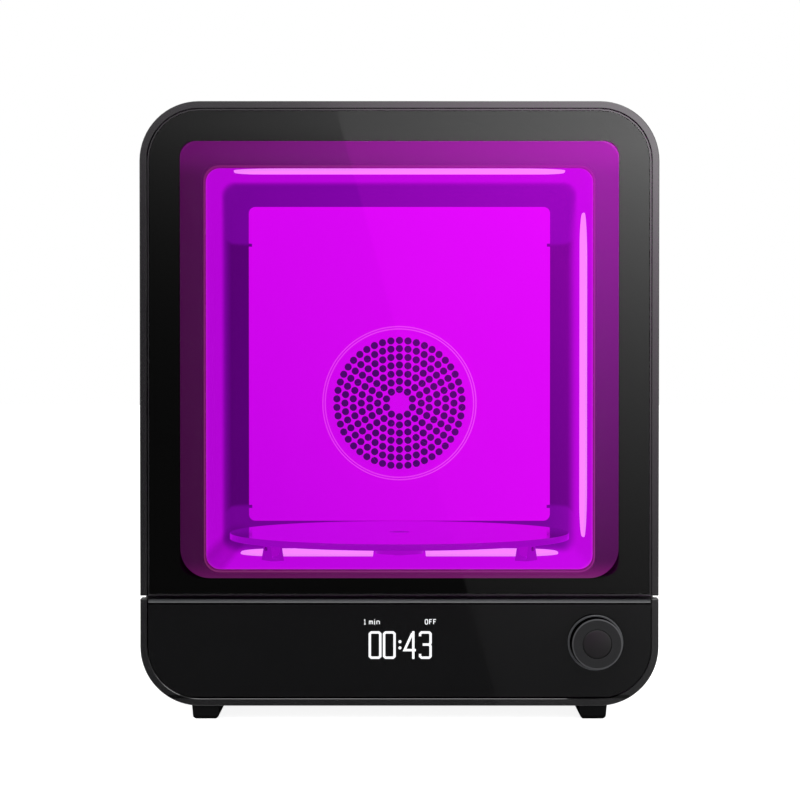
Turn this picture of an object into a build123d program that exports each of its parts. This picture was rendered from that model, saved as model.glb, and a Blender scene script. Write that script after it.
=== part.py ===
from build123d import *
import os
from math import cos, radians, sin, sqrt

os.makedirs("parts", exist_ok=True)

# Bench-top light curing unit for dental models, in millimetres.
# X runs to the right, Y to the back and Z up. The origin is the middle of the footprint on the bench.
# A "depth" is measured backwards from the front face of the door.

# ---------------------------------------------------------------- driving dimensions
# Body
body_width = 280.0
body_depth = 280.0            # front of the door to the rear cover
body_height = 326.1           # underside of the base to the top
corner_radius = 32.0
shell_wall = 2.5
cover_thickness = 3.0
foot_height = 7.4
base_height = 57.7            # underside of the base to the seam
seam_gap = 1.8                # the deck plate shows as a groove of this height
seam_inset = 2.0              # how far the deck plate stays inside the shells
base_chamfer = 1.5
shell_chamfer = 0.8
frame_band = 3.9              # visible band round the glass and the control panel
band_chamfer = 0.35
joint_gap = 0.4               # shadow gap inside that band
fit_gap = 0.2                 # clearance of a plate in its seat
fixed_fit = 0.02              # radial clearance of a pin that is fastened
running_fit = 0.05            # radial clearance of a pin that turns or slides
touch_gap = 0.3               # clearance of a closed moving piece from what it meets
boss_radius = 4.0

# Door
door_thickness = 18.0
door_gap = 1.5
glass_set_back = 0.2
glass_thickness = 3.8
glass_chamfer = 1.0
mask_thickness = 0.3
window_side_border = 21.5      # black border beside the window, from the body's side
window_top_border = 21.2
window_lift = 9.3             # lower window edge above the seam
window_radius = 9.0
window_low_radius = 16.0
glazing_ledge = 4.0           # the door frame stays this far behind the window edge
inner_frame_thickness = 4.0
inner_frame_lip = 3.5
mouth_margin = 1.0            # the door's inner opening is this much larger than the chamber
seal_width = 3.0
seal_inset = 2.0
strike_radius = 4.5
strike_thickness = 1.0
magnet_radius = 3.5
magnet_length = 5.2
latch_inset = 7.0             # magnets and switch in from the right side
magnet_spread = 190.0

# Hinge
hinge_inset = 5.0             # pin axis in from the left side
hinge_depth = 10.0
hinge_pin_radius = 2.0
hinge_eye_radius = 3.0
hinge_arm_height = 10.0
hinge_pin_grip = 6.0
hinge_spread = 180.0
hinge_foot_length = 18.0
hinge_foot_thickness = 3.0
hinge_notch_gap = 1.1         # in front of the hinge eye
hinge_edge_chamfer = 3.0

# Chamber
chamber_side_space = 34.0     # chamber wall to the body's side
chamber_top_space = 33.5
chamber_lift = 12.1           # chamber floor above the deck plate
chamber_radius = 8.0
chamber_back_radius = 20.0
liner_wall = 1.0
front_plate = 3.0
rear_space = 26.0             # between the liner and the rear cover

# Baffle, fan and heater
baffle_side_gap = 11.0        # air outlet beside the baffle
baffle_top_gap = 9.5
baffle_lift = 13.5
baffle_radius = 4.0
baffle_thickness = 1.2
baffle_flange = 8.0
baffle_space = 16.8           # air space behind the baffle
notch_size = 2.0
notch_spread = 165.0
notch_lift = 9.0
spacer_radius = 5.0
spacer_inset = 15.0           # in from the baffle's sides
spacer_rise = 30.0            # in from its upper and lower edges
grille_lift = 87.8            # fan axis above the chamber floor
grille_ring_radius = 48.4
grille_ring_width = 2.5
grille_ring_height = 1.0
hole_rows = 7
hole_first_radius = 8.6
hole_row_pitch = 5.17
hole_first_count = 10
hole_added_count = 6
hole_radius = 2.05
hole_sides = 6
impeller_radius = 42.0
impeller_height = 11.0
impeller_disc = 1.2
impeller_gap = 2.8            # between the impeller and the chamber's back wall
impeller_hub_radius = 8.0
blade_count = 10
blade_thickness = 1.2
blade_inner_radius = 14.0
blade_lean = 32.0             # degrees that a blade's tip trails its root
fan_shaft_radius = 3.0
fan_motor_radius = 24.0
fan_motor_length = 20.0
motor_plate_size = 58.0
motor_plate_thickness = 2.0
motor_plate_radius = 4.0
motor_chamfer = 1.5
shaft_end_gap = 1.0           # between a shaft's end and the bottom of its bore
shaft_hole_gap = 1.5
heater_radius = 56.0
heater_section = 4.0
heater_gap = 6.0              # heater from the chamber's back wall
heater_opening = 20.0         # degrees left open between the heater's ends
terminal_radius = 1.6
terminal_length = 8.0
terminal_angle = 13.0         # degrees from straight down, either side

# Light bars, boards and heat sinks
bar_proud = 1.4
bar_edge_radius = 1.0
bar_top_width = 30.0
bar_top_taper = 27.0          # length of a tapered end
bar_top_depth = 52.5
bar_top_end_gap = 13.5        # ends of the top bar to the side walls
bar_side_width = 44.0
bar_side_taper = 30.0
bar_side_depth = 88.5
bar_side_low_gap = 13.5       # ends of the side bars to the floor and the ceiling
bar_side_high_gap = 21.5
bar_floor_width = 44.0
bar_floor_taper = 24.0
bar_floor_depth = 140.0
bar_floor_end_gap = 11.6
bar_floor_start = 15.6
slot_margin = 6.0
slot_width = 5.0
board_thickness = 1.6
board_margin = 8.0
board_width = 14.0
led_count = 8
led_size = 3.5
led_height = 0.8
sink_base = 3.0
sink_width = 36.0
sink_length = 150.0
fin_count = 7
fin_height = 12.0
fin_thickness = 1.6

# Turntable
table_front_gap = 7.5         # rim to the front plate
table_back_gap = 2.0          # rim to the baffle
table_side_gap = 4.6          # rim to the light bars, at least
table_lift = 13.5             # top face above the chamber floor
table_plate = 2.0
table_rim_height = 3.6
table_rim_width = 2.5
hub_radius = 14.0
hub_gap = 1.0
spigot_radius = 6.0
spigot_recess = 0.4
drive_shaft_radius = 3.5
drive_shaft_grip = 12.0
table_motor_radius = 24.5
table_motor_height = 16.0
motor_ear_length = 70.0
motor_ear_width = 12.0
motor_ear_thickness = 1.5
roller_inset = 16.0           # roller circle inside the rim
roller_angles = {"right": -30.0, "left": 210.0, "rear": 90.0}
roller_radius = 4.5
roller_width = 5.0
roller_bevel = 0.6
roller_play = 0.25
axle_radius = 1.2
axle_proud = 0.6              # past each cheek
cheek_gap = 0.5
cheek_thickness = 1.2
bracket_width = 12.0
bracket_top_width = 6.0
bracket_height = 9.2
bracket_pad = 1.0

# Controls
panel_thickness = 3.0
panel_set_back = 0.4
panel_bevel = 2.0
bezel_depth = 12.0
bezel_ledge = 2.1
shelf_thickness = 2.5
shelf_overlap = 4.5
knob_side_gap = 34.1          # knob axis to the body's side
knob_lift = 34.7              # knob axis above the underside of the base
knob_radius = 13.55
knob_proud = 13.0
knob_gap = 1.0                # between the glass plane and the knob's back
knob_edge = 1.2
knob_hollow_radius = 11.0
knob_hollow_depth = 3.0
cap_radius = 8.0
cap_thickness = 1.5
cap_dish = 0.6
ring_radius = 15.5
ring_width = 1.1
ring_proud = 0.4
ring_groove = 0.5
encoder_size = 12.0
encoder_depth = 6.5
bushing_radius = 3.5
plunger_radius = 1.5
plunger_reach = 6.0
plunger_tail = 5.0
encoder_shaft_radius = 3.0
encoder_shaft_length = 7.2
shaft_back_gap = 1.8
display_x = 0.5
display_lift = 32.9
display_width = 44.0
display_height = 24.0
display_frame = 1.5
board_left = -50.0
board_side_gap = 20.0
board_low = 12.0
board_high = 52.0
panel_boss_radius = 3.0
panel_boss_x = (-44.0, 70.0)
panel_boss_lift = (17.6, 47.6)
ribbon_socket = (22.0, 8.0)
sounder_size = (18.0, 14.0)
sounder_side_gap = 25.0       # left of the knob's axis
sounder_lift = 10.0           # above the board's lower edge
board_part_height = 9.0

# Base interior
supply_size = (70.0, 110.0, 32.0)
supply_side_gap = 70.0              # middle of the supply to the body's side
supply_depth = 140.0
supply_slot_count = 5
supply_slot = (49.0, 5.0)
supply_slot_depth = 3.0
logic_size = (80.0, 100.0)
logic_side_gap = 65.0
logic_depth = 140.0
logic_lift = 6.0
logic_post_radius = 3.0
logic_post_inset = 5.0
relay_size = (19.0, 15.0)
relay_pitch = 30.0
capacitor_radius = 8.0
capacitor_pitch = 26.0
terminal_row = (60.0, 10.0)
terminal_row_inset = 8.0
logic_part_height = 15.0
deck_post_radius = 4.0
deck_post_inset = 16.0              # from the chamber's walls
deck_post_front_gap = 27.5
deck_post_back_gap = 15.0
tub_boss_front_depth = 32.0
tub_boss_back_gap = 29.0
tub_boss_inset = 6.0                # from the underside's rounded edge

# Rear
screw_radius = 1.5
screw_head_radius = 3.0
screw_head_height = 1.8
screw_length = 10.0
corner_boss_offset = 18.4           # from the corner's centre, both ways
side_boss_rise = 29.25              # above the middle of the body
rear_boss_depth = 15.0
inlet_side_gap = 45.0               # middle of the inlet to the body's side
socket_lift = 28.6                  # inlet and switch above the underside
inlet_body = (27.0, 20.0)
inlet_flange = (33.0, 26.0)
inlet_flange_thickness = 2.0
inlet_cavity = (24.0, 16.5)
inlet_depth = 18.0
inlet_back_wall = 3.0
pin_size = (2.0, 4.0)
pin_length = 12.0
pin_spacing = 7.0
pin_drop = 2.0                      # outer pins below the middle
earth_pin_rise = 3.0
switch_side_gap = 82.0
paddle_length = 8.0                 # half length
paddle_width = 10.0
paddle_height = 5.5
paddle_valley = 2.0
paddle_tail = 3.0
paddle_tilt = 8.0
paddle_pin_radius = 1.0
paddle_gap = 0.4
switch_wall = 1.5
switch_flange_rim = 2.0
switch_flange_thickness = 2.0
switch_depth = 15.0
rocker_proud = 4.0
vent_slot = (44.0, 3.0)
vent_pitch = 7.0
vent_rows = 5
vent_side_gap = 80.0
fan_size = 60.0
fan_thickness = 15.0
fan_motor_gap = 26.2                # cooling fan above the fan motor
fan_bore_radius = 28.5
fan_grille_pitch = 7.5
fan_grille_rows = 7
fan_hub_radius = 14.0
fan_boss_radius = 8.0
fan_pin_radius = 1.5
fan_strut = 3.0
fan_back = 2.0
fan_blade_count = 7
fan_blade_chord = 12.0
fan_blade_thickness = 1.2
fan_blade_pitch = 40.0
fan_tip_gap = 1.2
fan_blade_root = 0.5                # how far a blade runs into the hub
fan_corner_radius = 4.0

# Feet
foot_side_gap = 35.2                # middle of a foot to the body's side
foot_width = 13.8
foot_length = 54.0
foot_taper = 5.0
sole_height = 1.8
sole_chamfer = 1.3
foot_end_gap = 29.0                 # middle of a foot to the front and to the rear

# Door switch
microswitch_size = (6.4, 10.0, 20.0)
microswitch_rise = 0.5              # above the middle of the chamber
switch_pin_radius = 1.5

# ---------------------------------------------------------------- places worked out from them
y_front = knob_proud - (knob_proud + body_depth + rocker_proud) / 2
body_bottom = foot_height
body_top = body_bottom + body_height
body_middle = (body_bottom + body_top) / 2
half_width = body_width / 2
tub_boss_x = half_width - corner_radius - tub_boss_inset
seam_bottom = body_bottom + base_height
seam_top = seam_bottom + seam_gap
shell_front = door_thickness + door_gap
shell_back = body_depth - cover_thickness
liner_front = shell_front + front_plate
chamber_back = shell_back - rear_space - liner_wall
chamber_floor = seam_top + chamber_lift
chamber_top = body_top - chamber_top_space
chamber_height = chamber_top - chamber_floor
chamber_width = body_width - 2 * chamber_side_space
chamber_middle = (chamber_floor + chamber_top) / 2
chamber_side = chamber_width / 2
baffle_back = chamber_back - baffle_space
baffle_front = baffle_back - baffle_thickness
baffle_width = chamber_width - 2 * baffle_side_gap
baffle_height = chamber_height - baffle_lift - baffle_top_gap
baffle_middle = chamber_floor + baffle_lift + baffle_height / 2
grille_height = chamber_floor + grille_lift
bar_top_length = chamber_width - 2 * bar_top_end_gap
bar_side_height = (chamber_floor + bar_side_low_gap + chamber_top - bar_side_high_gap) / 2
bar_side_length = chamber_height - bar_side_low_gap - bar_side_high_gap
bar_floor_length = chamber_side - bar_floor_start - bar_floor_end_gap
# The turntable is as large as the room between the front plate, the baffle and the side bars allows
table_room = baffle_front - table_back_gap - liner_front - table_front_gap
table_radius = min(table_room / 2, chamber_side - bar_proud - table_side_gap)
table_depth = liner_front + table_front_gap + table_room / 2
roller_circle = table_radius - roller_inset
table_top = chamber_floor + table_lift
table_under = table_top - table_plate
table_y = y_front + table_depth
pocket_depth = glass_set_back + glass_thickness + mask_thickness
window_width = body_width - 2 * window_side_border
window_height = body_top - window_top_border - seam_top - window_lift
window_middle = seam_top + window_lift + window_height / 2
knob_x = half_width - knob_side_gap
knob_height = body_bottom + knob_lift
board_right = half_width - board_side_gap
foot_x = half_width - foot_side_gap
foot_rear_depth = body_depth - foot_end_gap
supply_place = (-half_width + supply_side_gap, y_front + supply_depth)
logic_place = (half_width - logic_side_gap, y_front + logic_depth)
tub_boss_depths = (tub_boss_front_depth, shell_back - tub_boss_back_gap)
deck_post_x = chamber_side - deck_post_inset
deck_post_depths = (liner_front + deck_post_front_gap, chamber_back - deck_post_back_gap)
side_boss_height = body_middle + side_boss_rise
inlet_place = (-half_width + inlet_side_gap, body_bottom + socket_lift)
switch_place = (-half_width + switch_side_gap, body_bottom + socket_lift)
vent_place = (half_width - vent_side_gap, body_bottom + socket_lift)
fan_height = grille_height + motor_plate_size / 2 + fan_motor_gap + fan_size / 2
microswitch_height = chamber_middle + microswitch_rise
panel_back = panel_set_back + panel_thickness
board_depth = panel_back + encoder_depth
hinge_x = -half_width + hinge_inset
terminal_places = [
    (
        side * heater_radius * sin(radians(terminal_angle)),
        grille_height - heater_radius * cos(radians(terminal_angle)),
    )
    for side in (-1, 1)
]
hinge_heights = (chamber_middle - hinge_spread / 2, chamber_middle + hinge_spread / 2)
latch_x = half_width - latch_inset
magnet_heights = (chamber_middle - magnet_spread / 2, chamber_middle + magnet_spread / 2)


def at_depth(depth):
    """Upright plane at a depth behind the front of the door; its local y axis points up."""
    return Plane.XZ.offset(-(y_front + depth))


def body_section(inset, low, high):
    """The body's rounded cross-section, inset all round and kept between two heights."""
    with BuildSketch(mode=Mode.PRIVATE) as section:
        with Locations((0, body_middle)):
            RectangleRounded(body_width - 2 * inset, body_height - 2 * inset, corner_radius - inset)
        with Locations((0, (low + high) / 2)):
            Rectangle(body_width, high - low, mode=Mode.INTERSECT)
    return section.sketch


def chamber_section(grow):
    """The chamber's rounded cross-section, grown all round."""
    with BuildSketch(mode=Mode.PRIVATE) as section:
        with Locations((0, chamber_middle)):
            RectangleRounded(
                chamber_width + 2 * grow, chamber_height + 2 * grow, chamber_radius + grow
            )
    return section.sketch


def window_section(grow):
    """The window's outline, grown all round; its lower corners are rounder than its upper ones."""
    with BuildSketch(mode=Mode.PRIVATE) as section:
        with Locations((0, window_middle)):
            Rectangle(window_width + 2 * grow, window_height + 2 * grow)
        fillet(section.vertices().group_by(Axis.Y)[-1], window_radius + grow)
        fillet(section.vertices().group_by(Axis.Y)[0], window_low_radius + grow)
    return section.sketch


# ---------------------------------------------------------------- base
with BuildPart() as base_tub:
    with BuildSketch(at_depth(bezel_depth)):
        add(body_section(0, body_bottom, seam_bottom))
    extrude(amount=-(shell_back - bezel_depth))
    side_faces = base_tub.faces().filter_by(Axis.X)
    top_edges = side_faces.edges().filter_by(Axis.Y).group_by(Axis.Z)[-1]
    chamfer(top_edges, base_chamfer)
    with BuildSketch(at_depth(bezel_depth)):
        add(body_section(shell_wall, body_bottom, seam_bottom))
    extrude(amount=-(shell_back - bezel_depth), mode=Mode.SUBTRACT)
    tub_floor = body_bottom + shell_wall
    # Posts under the deck plate, the stand-offs of the main board and the rear screw bosses
    with BuildSketch(Plane.XY.offset(tub_floor)):
        for depth in tub_boss_depths:
            with Locations((-tub_boss_x, y_front + depth), (tub_boss_x, y_front + depth)):
                Circle(boss_radius)
    extrude(amount=seam_bottom - tub_floor)
    with BuildSketch(Plane.XY.offset(tub_floor)):
        with Locations(logic_place):
            with GridLocations(*[side - 2 * logic_post_inset for side in logic_size], 2, 2):
                Circle(logic_post_radius)
    extrude(amount=logic_lift)
    corner = half_width - corner_radius + corner_boss_offset
    low_boss_height = body_bottom + corner_radius - corner_boss_offset
    with BuildSketch(at_depth(shell_back)):
        with Locations((-corner, low_boss_height), (corner, low_boss_height)):
            Circle(boss_radius)
            Circle(screw_radius + fixed_fit, mode=Mode.SUBTRACT)
    extrude(amount=rear_boss_depth)

base_tub.part.label = "base_tub"
export_step(base_tub.part, "parts/base_tub.step")

with BuildPart() as base_bezel:
    with BuildSketch(at_depth(0)):
        add(body_section(0, body_bottom, seam_bottom))
        add(body_section(frame_band, body_bottom, seam_bottom), mode=Mode.SUBTRACT)
    extrude(amount=-panel_back)
    with BuildSketch(at_depth(panel_back)):
        add(body_section(0, body_bottom, seam_bottom))
        add(body_section(frame_band + bezel_ledge, body_bottom, seam_bottom), mode=Mode.SUBTRACT)
    extrude(amount=-(bezel_depth - panel_back))
    chamfer(base_bezel.faces().sort_by(Axis.Y)[0].edges(), band_chamfer)
    # Shelf that closes the base in front of the deck plate
    with BuildSketch(at_depth(panel_back)):
        shelf_middle = seam_bottom - shelf_thickness / 2
        with Locations((0, shelf_middle)):
            Rectangle(body_width - 2 * (shell_wall + fit_gap), shelf_thickness)
    extrude(amount=-(shell_front + shelf_overlap - panel_back))

base_bezel.part.label = "base_bezel"
export_step(base_bezel.part, "parts/base_bezel.step")

with BuildPart() as feet:
    with BuildSketch(Plane.XY.offset(sole_height)):
        with Locations((0, y_front + (foot_end_gap + foot_rear_depth) / 2)):
            with GridLocations(2 * foot_x, foot_rear_depth - foot_end_gap, 2, 2):
                Rectangle(foot_width, foot_length)
    extrude(amount=foot_height + base_chamfer - sole_height, taper=-foot_taper)
    with BuildSketch(at_depth(0)):
        add(body_section(0, body_bottom, seam_bottom))
    extrude(amount=-body_depth, mode=Mode.SUBTRACT)

feet.part.label = "feet"
export_step(feet.part, "parts/feet.step")

with BuildPart() as foot_pads:
    with BuildSketch():
        with Locations((0, y_front + (foot_end_gap + foot_rear_depth) / 2)):
            with GridLocations(2 * foot_x, foot_rear_depth - foot_end_gap, 2, 2):
                Rectangle(foot_width, foot_length)
    extrude(amount=sole_height)
    chamfer(foot_pads.faces().group_by(Axis.Z)[0].edges(), sole_chamfer)

foot_pads.part.label = "foot_pads"
export_step(foot_pads.part, "parts/foot_pads.step")

with BuildPart() as deck_plate:
    with BuildSketch(Plane.XY.offset(seam_bottom)):
        with Locations((0, y_front + (shell_front + shell_back) / 2)):
            Rectangle(body_width - 2 * seam_inset, shell_back - shell_front)
        with Locations((0, table_y)):
            Circle(drive_shaft_radius + shaft_hole_gap, mode=Mode.SUBTRACT)
    extrude(amount=seam_gap)
    # Posts that carry the chamber
    with BuildSketch(Plane.XY.offset(seam_top)):
        for depth in deck_post_depths:
            with Locations((-deck_post_x, y_front + depth), (deck_post_x, y_front + depth)):
                Circle(deck_post_radius)
    extrude(amount=chamber_lift - liner_wall)

deck_plate.part.label = "deck_plate"
export_step(deck_plate.part, "parts/deck_plate.step")

# ---------------------------------------------------------------- control strip
with BuildPart() as control_panel:
    with BuildSketch(at_depth(panel_set_back)):
        add(body_section(frame_band + joint_gap, body_bottom, seam_bottom))
    extrude(amount=-panel_thickness)
    front_face = control_panel.faces().sort_by(Axis.Y)[0]
    chamfer(front_face.edges().sort_by(Axis.Z)[-1], panel_bevel)
    with BuildSketch(at_depth(panel_set_back)):
        with Locations((knob_x, knob_height)):
            Circle(ring_radius + fixed_fit)
            Circle(ring_radius - ring_width - fixed_fit, mode=Mode.SUBTRACT)
    extrude(amount=-ring_groove, mode=Mode.SUBTRACT)
    with BuildSketch(at_depth(panel_back)):
        for lift in panel_boss_lift:
            for x in panel_boss_x:
                with Locations((x, body_bottom + lift)):
                    Circle(panel_boss_radius)
    extrude(amount=-encoder_depth)
    with BuildSketch(at_depth(panel_set_back)):
        with Locations((knob_x, knob_height)):
            Circle(bushing_radius + fixed_fit)
    extrude(amount=-panel_thickness, mode=Mode.SUBTRACT)

control_panel.part.label = "control_panel"
export_step(control_panel.part, "parts/control_panel.step")

with BuildPart() as display_module:
    with BuildSketch(at_depth(panel_back)):
        with Locations((display_x, body_bottom + display_lift)):
            Rectangle(display_width, display_height)
    extrude(amount=-encoder_depth)
    with BuildSketch(at_depth(panel_back)):
        with Locations((display_x, body_bottom + display_lift)):
            Rectangle(display_width - 2 * display_frame, display_height - 2 * display_frame)
    extrude(amount=-fit_gap, mode=Mode.SUBTRACT)

display_module.part.label = "display_module"
export_step(display_module.part, "parts/display_module.step")

with BuildPart() as control_board:
    with BuildSketch(at_depth(board_depth)):
        with Locations(((board_left + board_right) / 2, body_bottom + (board_low + board_high) / 2)):
            Rectangle(board_right - board_left, board_high - board_low)
    extrude(amount=-board_thickness)
    # Display connector and sounder on the back of the board
    with BuildSketch(at_depth(board_depth + board_thickness)):
        with Locations((display_x, body_bottom + display_lift)):
            Rectangle(*ribbon_socket)
        with Locations((knob_x - sounder_side_gap, body_bottom + board_low + sounder_lift)):
            Rectangle(*sounder_size)
    extrude(amount=-board_part_height)

control_board.part.label = "control_board"
export_step(control_board.part, "parts/control_board.step")

with BuildPart() as knob_ring:
    with BuildSketch(at_depth(panel_set_back - ring_proud)):
        with Locations((knob_x, knob_height)):
            Circle(ring_radius)
            Circle(ring_radius - ring_width, mode=Mode.SUBTRACT)
    extrude(amount=-(ring_proud + ring_groove))

knob_ring.part.label = "knob_ring"
export_step(knob_ring.part, "parts/knob_ring.step")

with BuildPart() as encoder_body:
    with BuildSketch(at_depth(panel_back)):
        with Locations((knob_x, knob_height)):
            Rectangle(encoder_size, encoder_size)
    extrude(amount=-encoder_depth)
    with BuildSketch(at_depth(0)):
        with Locations((knob_x, knob_height)):
            Circle(bushing_radius)
    extrude(amount=-panel_back)
    with BuildSketch(at_depth(0)):
        with Locations((knob_x, knob_height)):
            Circle(plunger_radius + running_fit)
    extrude(amount=-(panel_back + encoder_depth), mode=Mode.SUBTRACT)

encoder_body.part.label = "encoder_body"
export_step(encoder_body.part, "parts/encoder_body.step")

with BuildPart() as encoder_plunger:
    with BuildSketch(at_depth(-plunger_reach)):
        with Locations((knob_x, knob_height)):
            Circle(plunger_radius)
    extrude(amount=-(plunger_reach + panel_back + plunger_tail))

encoder_plunger.part.label = "encoder_plunger"
export_step(encoder_plunger.part, "parts/encoder_plunger.step")

with BuildPart() as encoder_shaft:
    with BuildSketch(at_depth(-shaft_back_gap)):
        with Locations((knob_x, knob_height)):
            Circle(encoder_shaft_radius)
            Circle(plunger_radius + running_fit, mode=Mode.SUBTRACT)
    extrude(amount=encoder_shaft_length)

encoder_shaft.part.label = "encoder_shaft"
export_step(encoder_shaft.part, "parts/encoder_shaft.step")

with BuildPart() as knob:
    with BuildSketch(at_depth(-knob_gap)):
        with Locations((knob_x, knob_height)):
            Circle(knob_radius)
    extrude(amount=knob_proud - knob_gap)
    fillet(knob.faces().sort_by(Axis.Y)[0].edges(), knob_edge)
    with BuildSketch(at_depth(-knob_proud)):
        with Locations((knob_x, knob_height)):
            Circle(cap_radius + fixed_fit)
    extrude(amount=-cap_thickness, mode=Mode.SUBTRACT)
    with BuildSketch(at_depth(-knob_gap)):
        with Locations((knob_x, knob_height)):
            Circle(knob_hollow_radius)
    extrude(amount=knob_hollow_depth, mode=Mode.SUBTRACT)
    with BuildSketch(at_depth(-knob_gap)):
        with Locations((knob_x, knob_height)):
            Circle(encoder_shaft_radius + fixed_fit)
    extrude(amount=encoder_shaft_length + shaft_back_gap - knob_gap, mode=Mode.SUBTRACT)

knob.part.label = "knob"
export_step(knob.part, "parts/knob.step")

with BuildPart() as knob_cap:
    with BuildSketch(at_depth(cap_thickness - knob_proud)):
        with Locations((knob_x, knob_height)):
            Circle(cap_radius)
    extrude(amount=cap_thickness)
    dish_radius = (cap_radius**2 + cap_dish**2) / (2 * cap_dish)
    with Locations((knob_x, y_front - knob_proud - dish_radius + cap_dish, knob_height)):
        Sphere(dish_radius, mode=Mode.SUBTRACT)

knob_cap.part.label = "knob_cap"
export_step(knob_cap.part, "parts/knob_cap.step")

# ---------------------------------------------------------------- upper shell
with BuildPart() as top_shell:
    with BuildSketch(at_depth(shell_front)):
        add(body_section(0, seam_top, body_top))
    extrude(amount=-(shell_back - shell_front))
    side_faces = top_shell.faces().filter_by(Axis.X)
    chamfer(side_faces.edges().filter_by(Axis.Y).group_by(Axis.Z)[0], shell_chamfer)
    with BuildSketch(at_depth(shell_front)):
        add(body_section(shell_wall, seam_top, body_top))
    extrude(amount=-(shell_back - shell_front), mode=Mode.SUBTRACT)
    high_boss_height = body_top - corner_radius + corner_boss_offset
    side_boss_x = half_width - shell_wall - boss_radius + fit_gap
    with BuildSketch(at_depth(shell_back)):
        for x, height in ((corner, high_boss_height), (side_boss_x, side_boss_height)):
            with Locations((-x, height), (x, height)):
                Circle(boss_radius)
                Circle(screw_radius + fixed_fit, mode=Mode.SUBTRACT)
    extrude(amount=rear_boss_depth)

top_shell.part.label = "top_shell"
export_step(top_shell.part, "parts/top_shell.step")

with BuildPart() as front_frame:
    with BuildSketch(at_depth(shell_front)):
        add(body_section(shell_wall + fit_gap, seam_top, body_top))
        add(chamber_section(0), mode=Mode.SUBTRACT)
        for height in magnet_heights:
            with Locations((latch_x, height)):
                Circle(magnet_radius + running_fit, mode=Mode.SUBTRACT)
        with Locations((latch_x, microswitch_height)):
            Circle(switch_pin_radius + running_fit, mode=Mode.SUBTRACT)
        # Slots that the hinge arms come through
        slot_left = -half_width + shell_wall + fit_gap
        slot_right = hinge_x + hinge_eye_radius + fit_gap
        for height in hinge_heights:
            with Locations(((slot_left + slot_right) / 2, height)):
                Rectangle(slot_right - slot_left, hinge_arm_height + 2 * fit_gap, mode=Mode.SUBTRACT)
    extrude(amount=-front_plate)

front_frame.part.label = "front_frame"
export_step(front_frame.part, "parts/front_frame.step")

# ---------------------------------------------------------------- chamber
top_slot_length = bar_top_length - 2 * slot_margin
side_slot_length = bar_side_length - 2 * slot_margin
floor_slot_length = bar_floor_length - 2 * slot_margin
floor_bar_x = bar_floor_start + bar_floor_length / 2

with BuildPart() as chamber_liner:
    with BuildSketch(at_depth(liner_front)):
        add(chamber_section(liner_wall))
    extrude(amount=-(chamber_back + liner_wall - liner_front))
    fillet(chamber_liner.faces().sort_by(Axis.Y)[-1].edges(), chamber_back_radius)
    offset(amount=-liner_wall, openings=chamber_liner.faces().sort_by(Axis.Y)[0])
    # Slots behind the light bars
    with BuildSketch(Plane.XY.offset(chamber_top - liner_wall)):
        with Locations((0, y_front + bar_top_depth)):
            Rectangle(top_slot_length, slot_width)
    extrude(amount=3 * liner_wall, mode=Mode.SUBTRACT)
    with BuildSketch(Plane.YZ):
        with Locations((y_front + bar_side_depth, bar_side_height)):
            Rectangle(slot_width, side_slot_length)
    extrude(amount=chamber_width, both=True, mode=Mode.SUBTRACT)
    with BuildSketch(Plane.XY.offset(chamber_floor + liner_wall)):
        for x in (-floor_bar_x, floor_bar_x):
            with Locations((x, y_front + bar_floor_depth)):
                Rectangle(floor_slot_length, slot_width)
        with Locations((0, table_y)):
            Circle(drive_shaft_radius + shaft_hole_gap)
    extrude(amount=-3 * liner_wall, mode=Mode.SUBTRACT)
    # Holes for the fan shaft and the heater's terminals
    with BuildSketch(at_depth(chamber_back - liner_wall)):
        with Locations((0, grille_height)):
            Circle(fan_shaft_radius + shaft_hole_gap)
        with Locations(*terminal_places):
            Circle(terminal_radius + fixed_fit)
    extrude(amount=-3 * liner_wall, mode=Mode.SUBTRACT)

chamber_liner.part.label = "chamber_liner"
export_step(chamber_liner.part, "parts/chamber_liner.step")

with BuildPart() as baffle_plate:
    with BuildSketch(at_depth(baffle_front)):
        with Locations((0, baffle_middle)):
            RectangleRounded(baffle_width, baffle_height, baffle_radius)
        notch_middle = chamber_floor + baffle_lift + notch_lift + notch_spread / 2
        with Locations((0, notch_middle)):
            with GridLocations(baffle_width, notch_spread, 2, 2):
                Rectangle(2 * notch_size, notch_size, mode=Mode.SUBTRACT)
    extrude(amount=-baffle_thickness)
    # Returned edges at the top and bottom
    with BuildSketch(at_depth(baffle_back)):
        with Locations((0, baffle_middle)):
            with GridLocations(0, baffle_height - baffle_thickness, 1, 2):
                Rectangle(baffle_width - 2 * baffle_radius, baffle_thickness)
    extrude(amount=-baffle_flange)
    # Pressed ring round the fan grille
    with BuildSketch(at_depth(baffle_front)):
        with Locations((0, grille_height)):
            Circle(grille_ring_radius)
            Circle(grille_ring_radius - grille_ring_width, mode=Mode.SUBTRACT)
    extrude(amount=grille_ring_height)
    # Rings of holes, each ring holding a fixed number more than the one inside it
    with BuildSketch(at_depth(baffle_front)):
        with Locations((0, grille_height)):
            for row in range(hole_rows):
                row_radius = hole_first_radius + row * hole_row_pitch
                row_count = hole_first_count + row * hole_added_count
                with PolarLocations(row_radius, row_count, start_angle=90):
                    RegularPolygon(hole_radius, hole_sides)
    extrude(amount=-baffle_thickness, mode=Mode.SUBTRACT)

baffle_plate.part.label = "baffle_plate"
export_step(baffle_plate.part, "parts/baffle_plate.step")

with BuildPart() as baffle_spacers:
    with BuildSketch(at_depth(baffle_back)):
        with Locations((0, baffle_middle)):
            spacer_pitches = (baffle_width - 2 * spacer_inset, baffle_height - 2 * spacer_rise)
            with GridLocations(*spacer_pitches, 2, 2):
                Circle(spacer_radius)
    extrude(amount=-baffle_space)

baffle_spacers.part.label = "baffle_spacers"
export_step(baffle_spacers.part, "parts/baffle_spacers.step")

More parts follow.
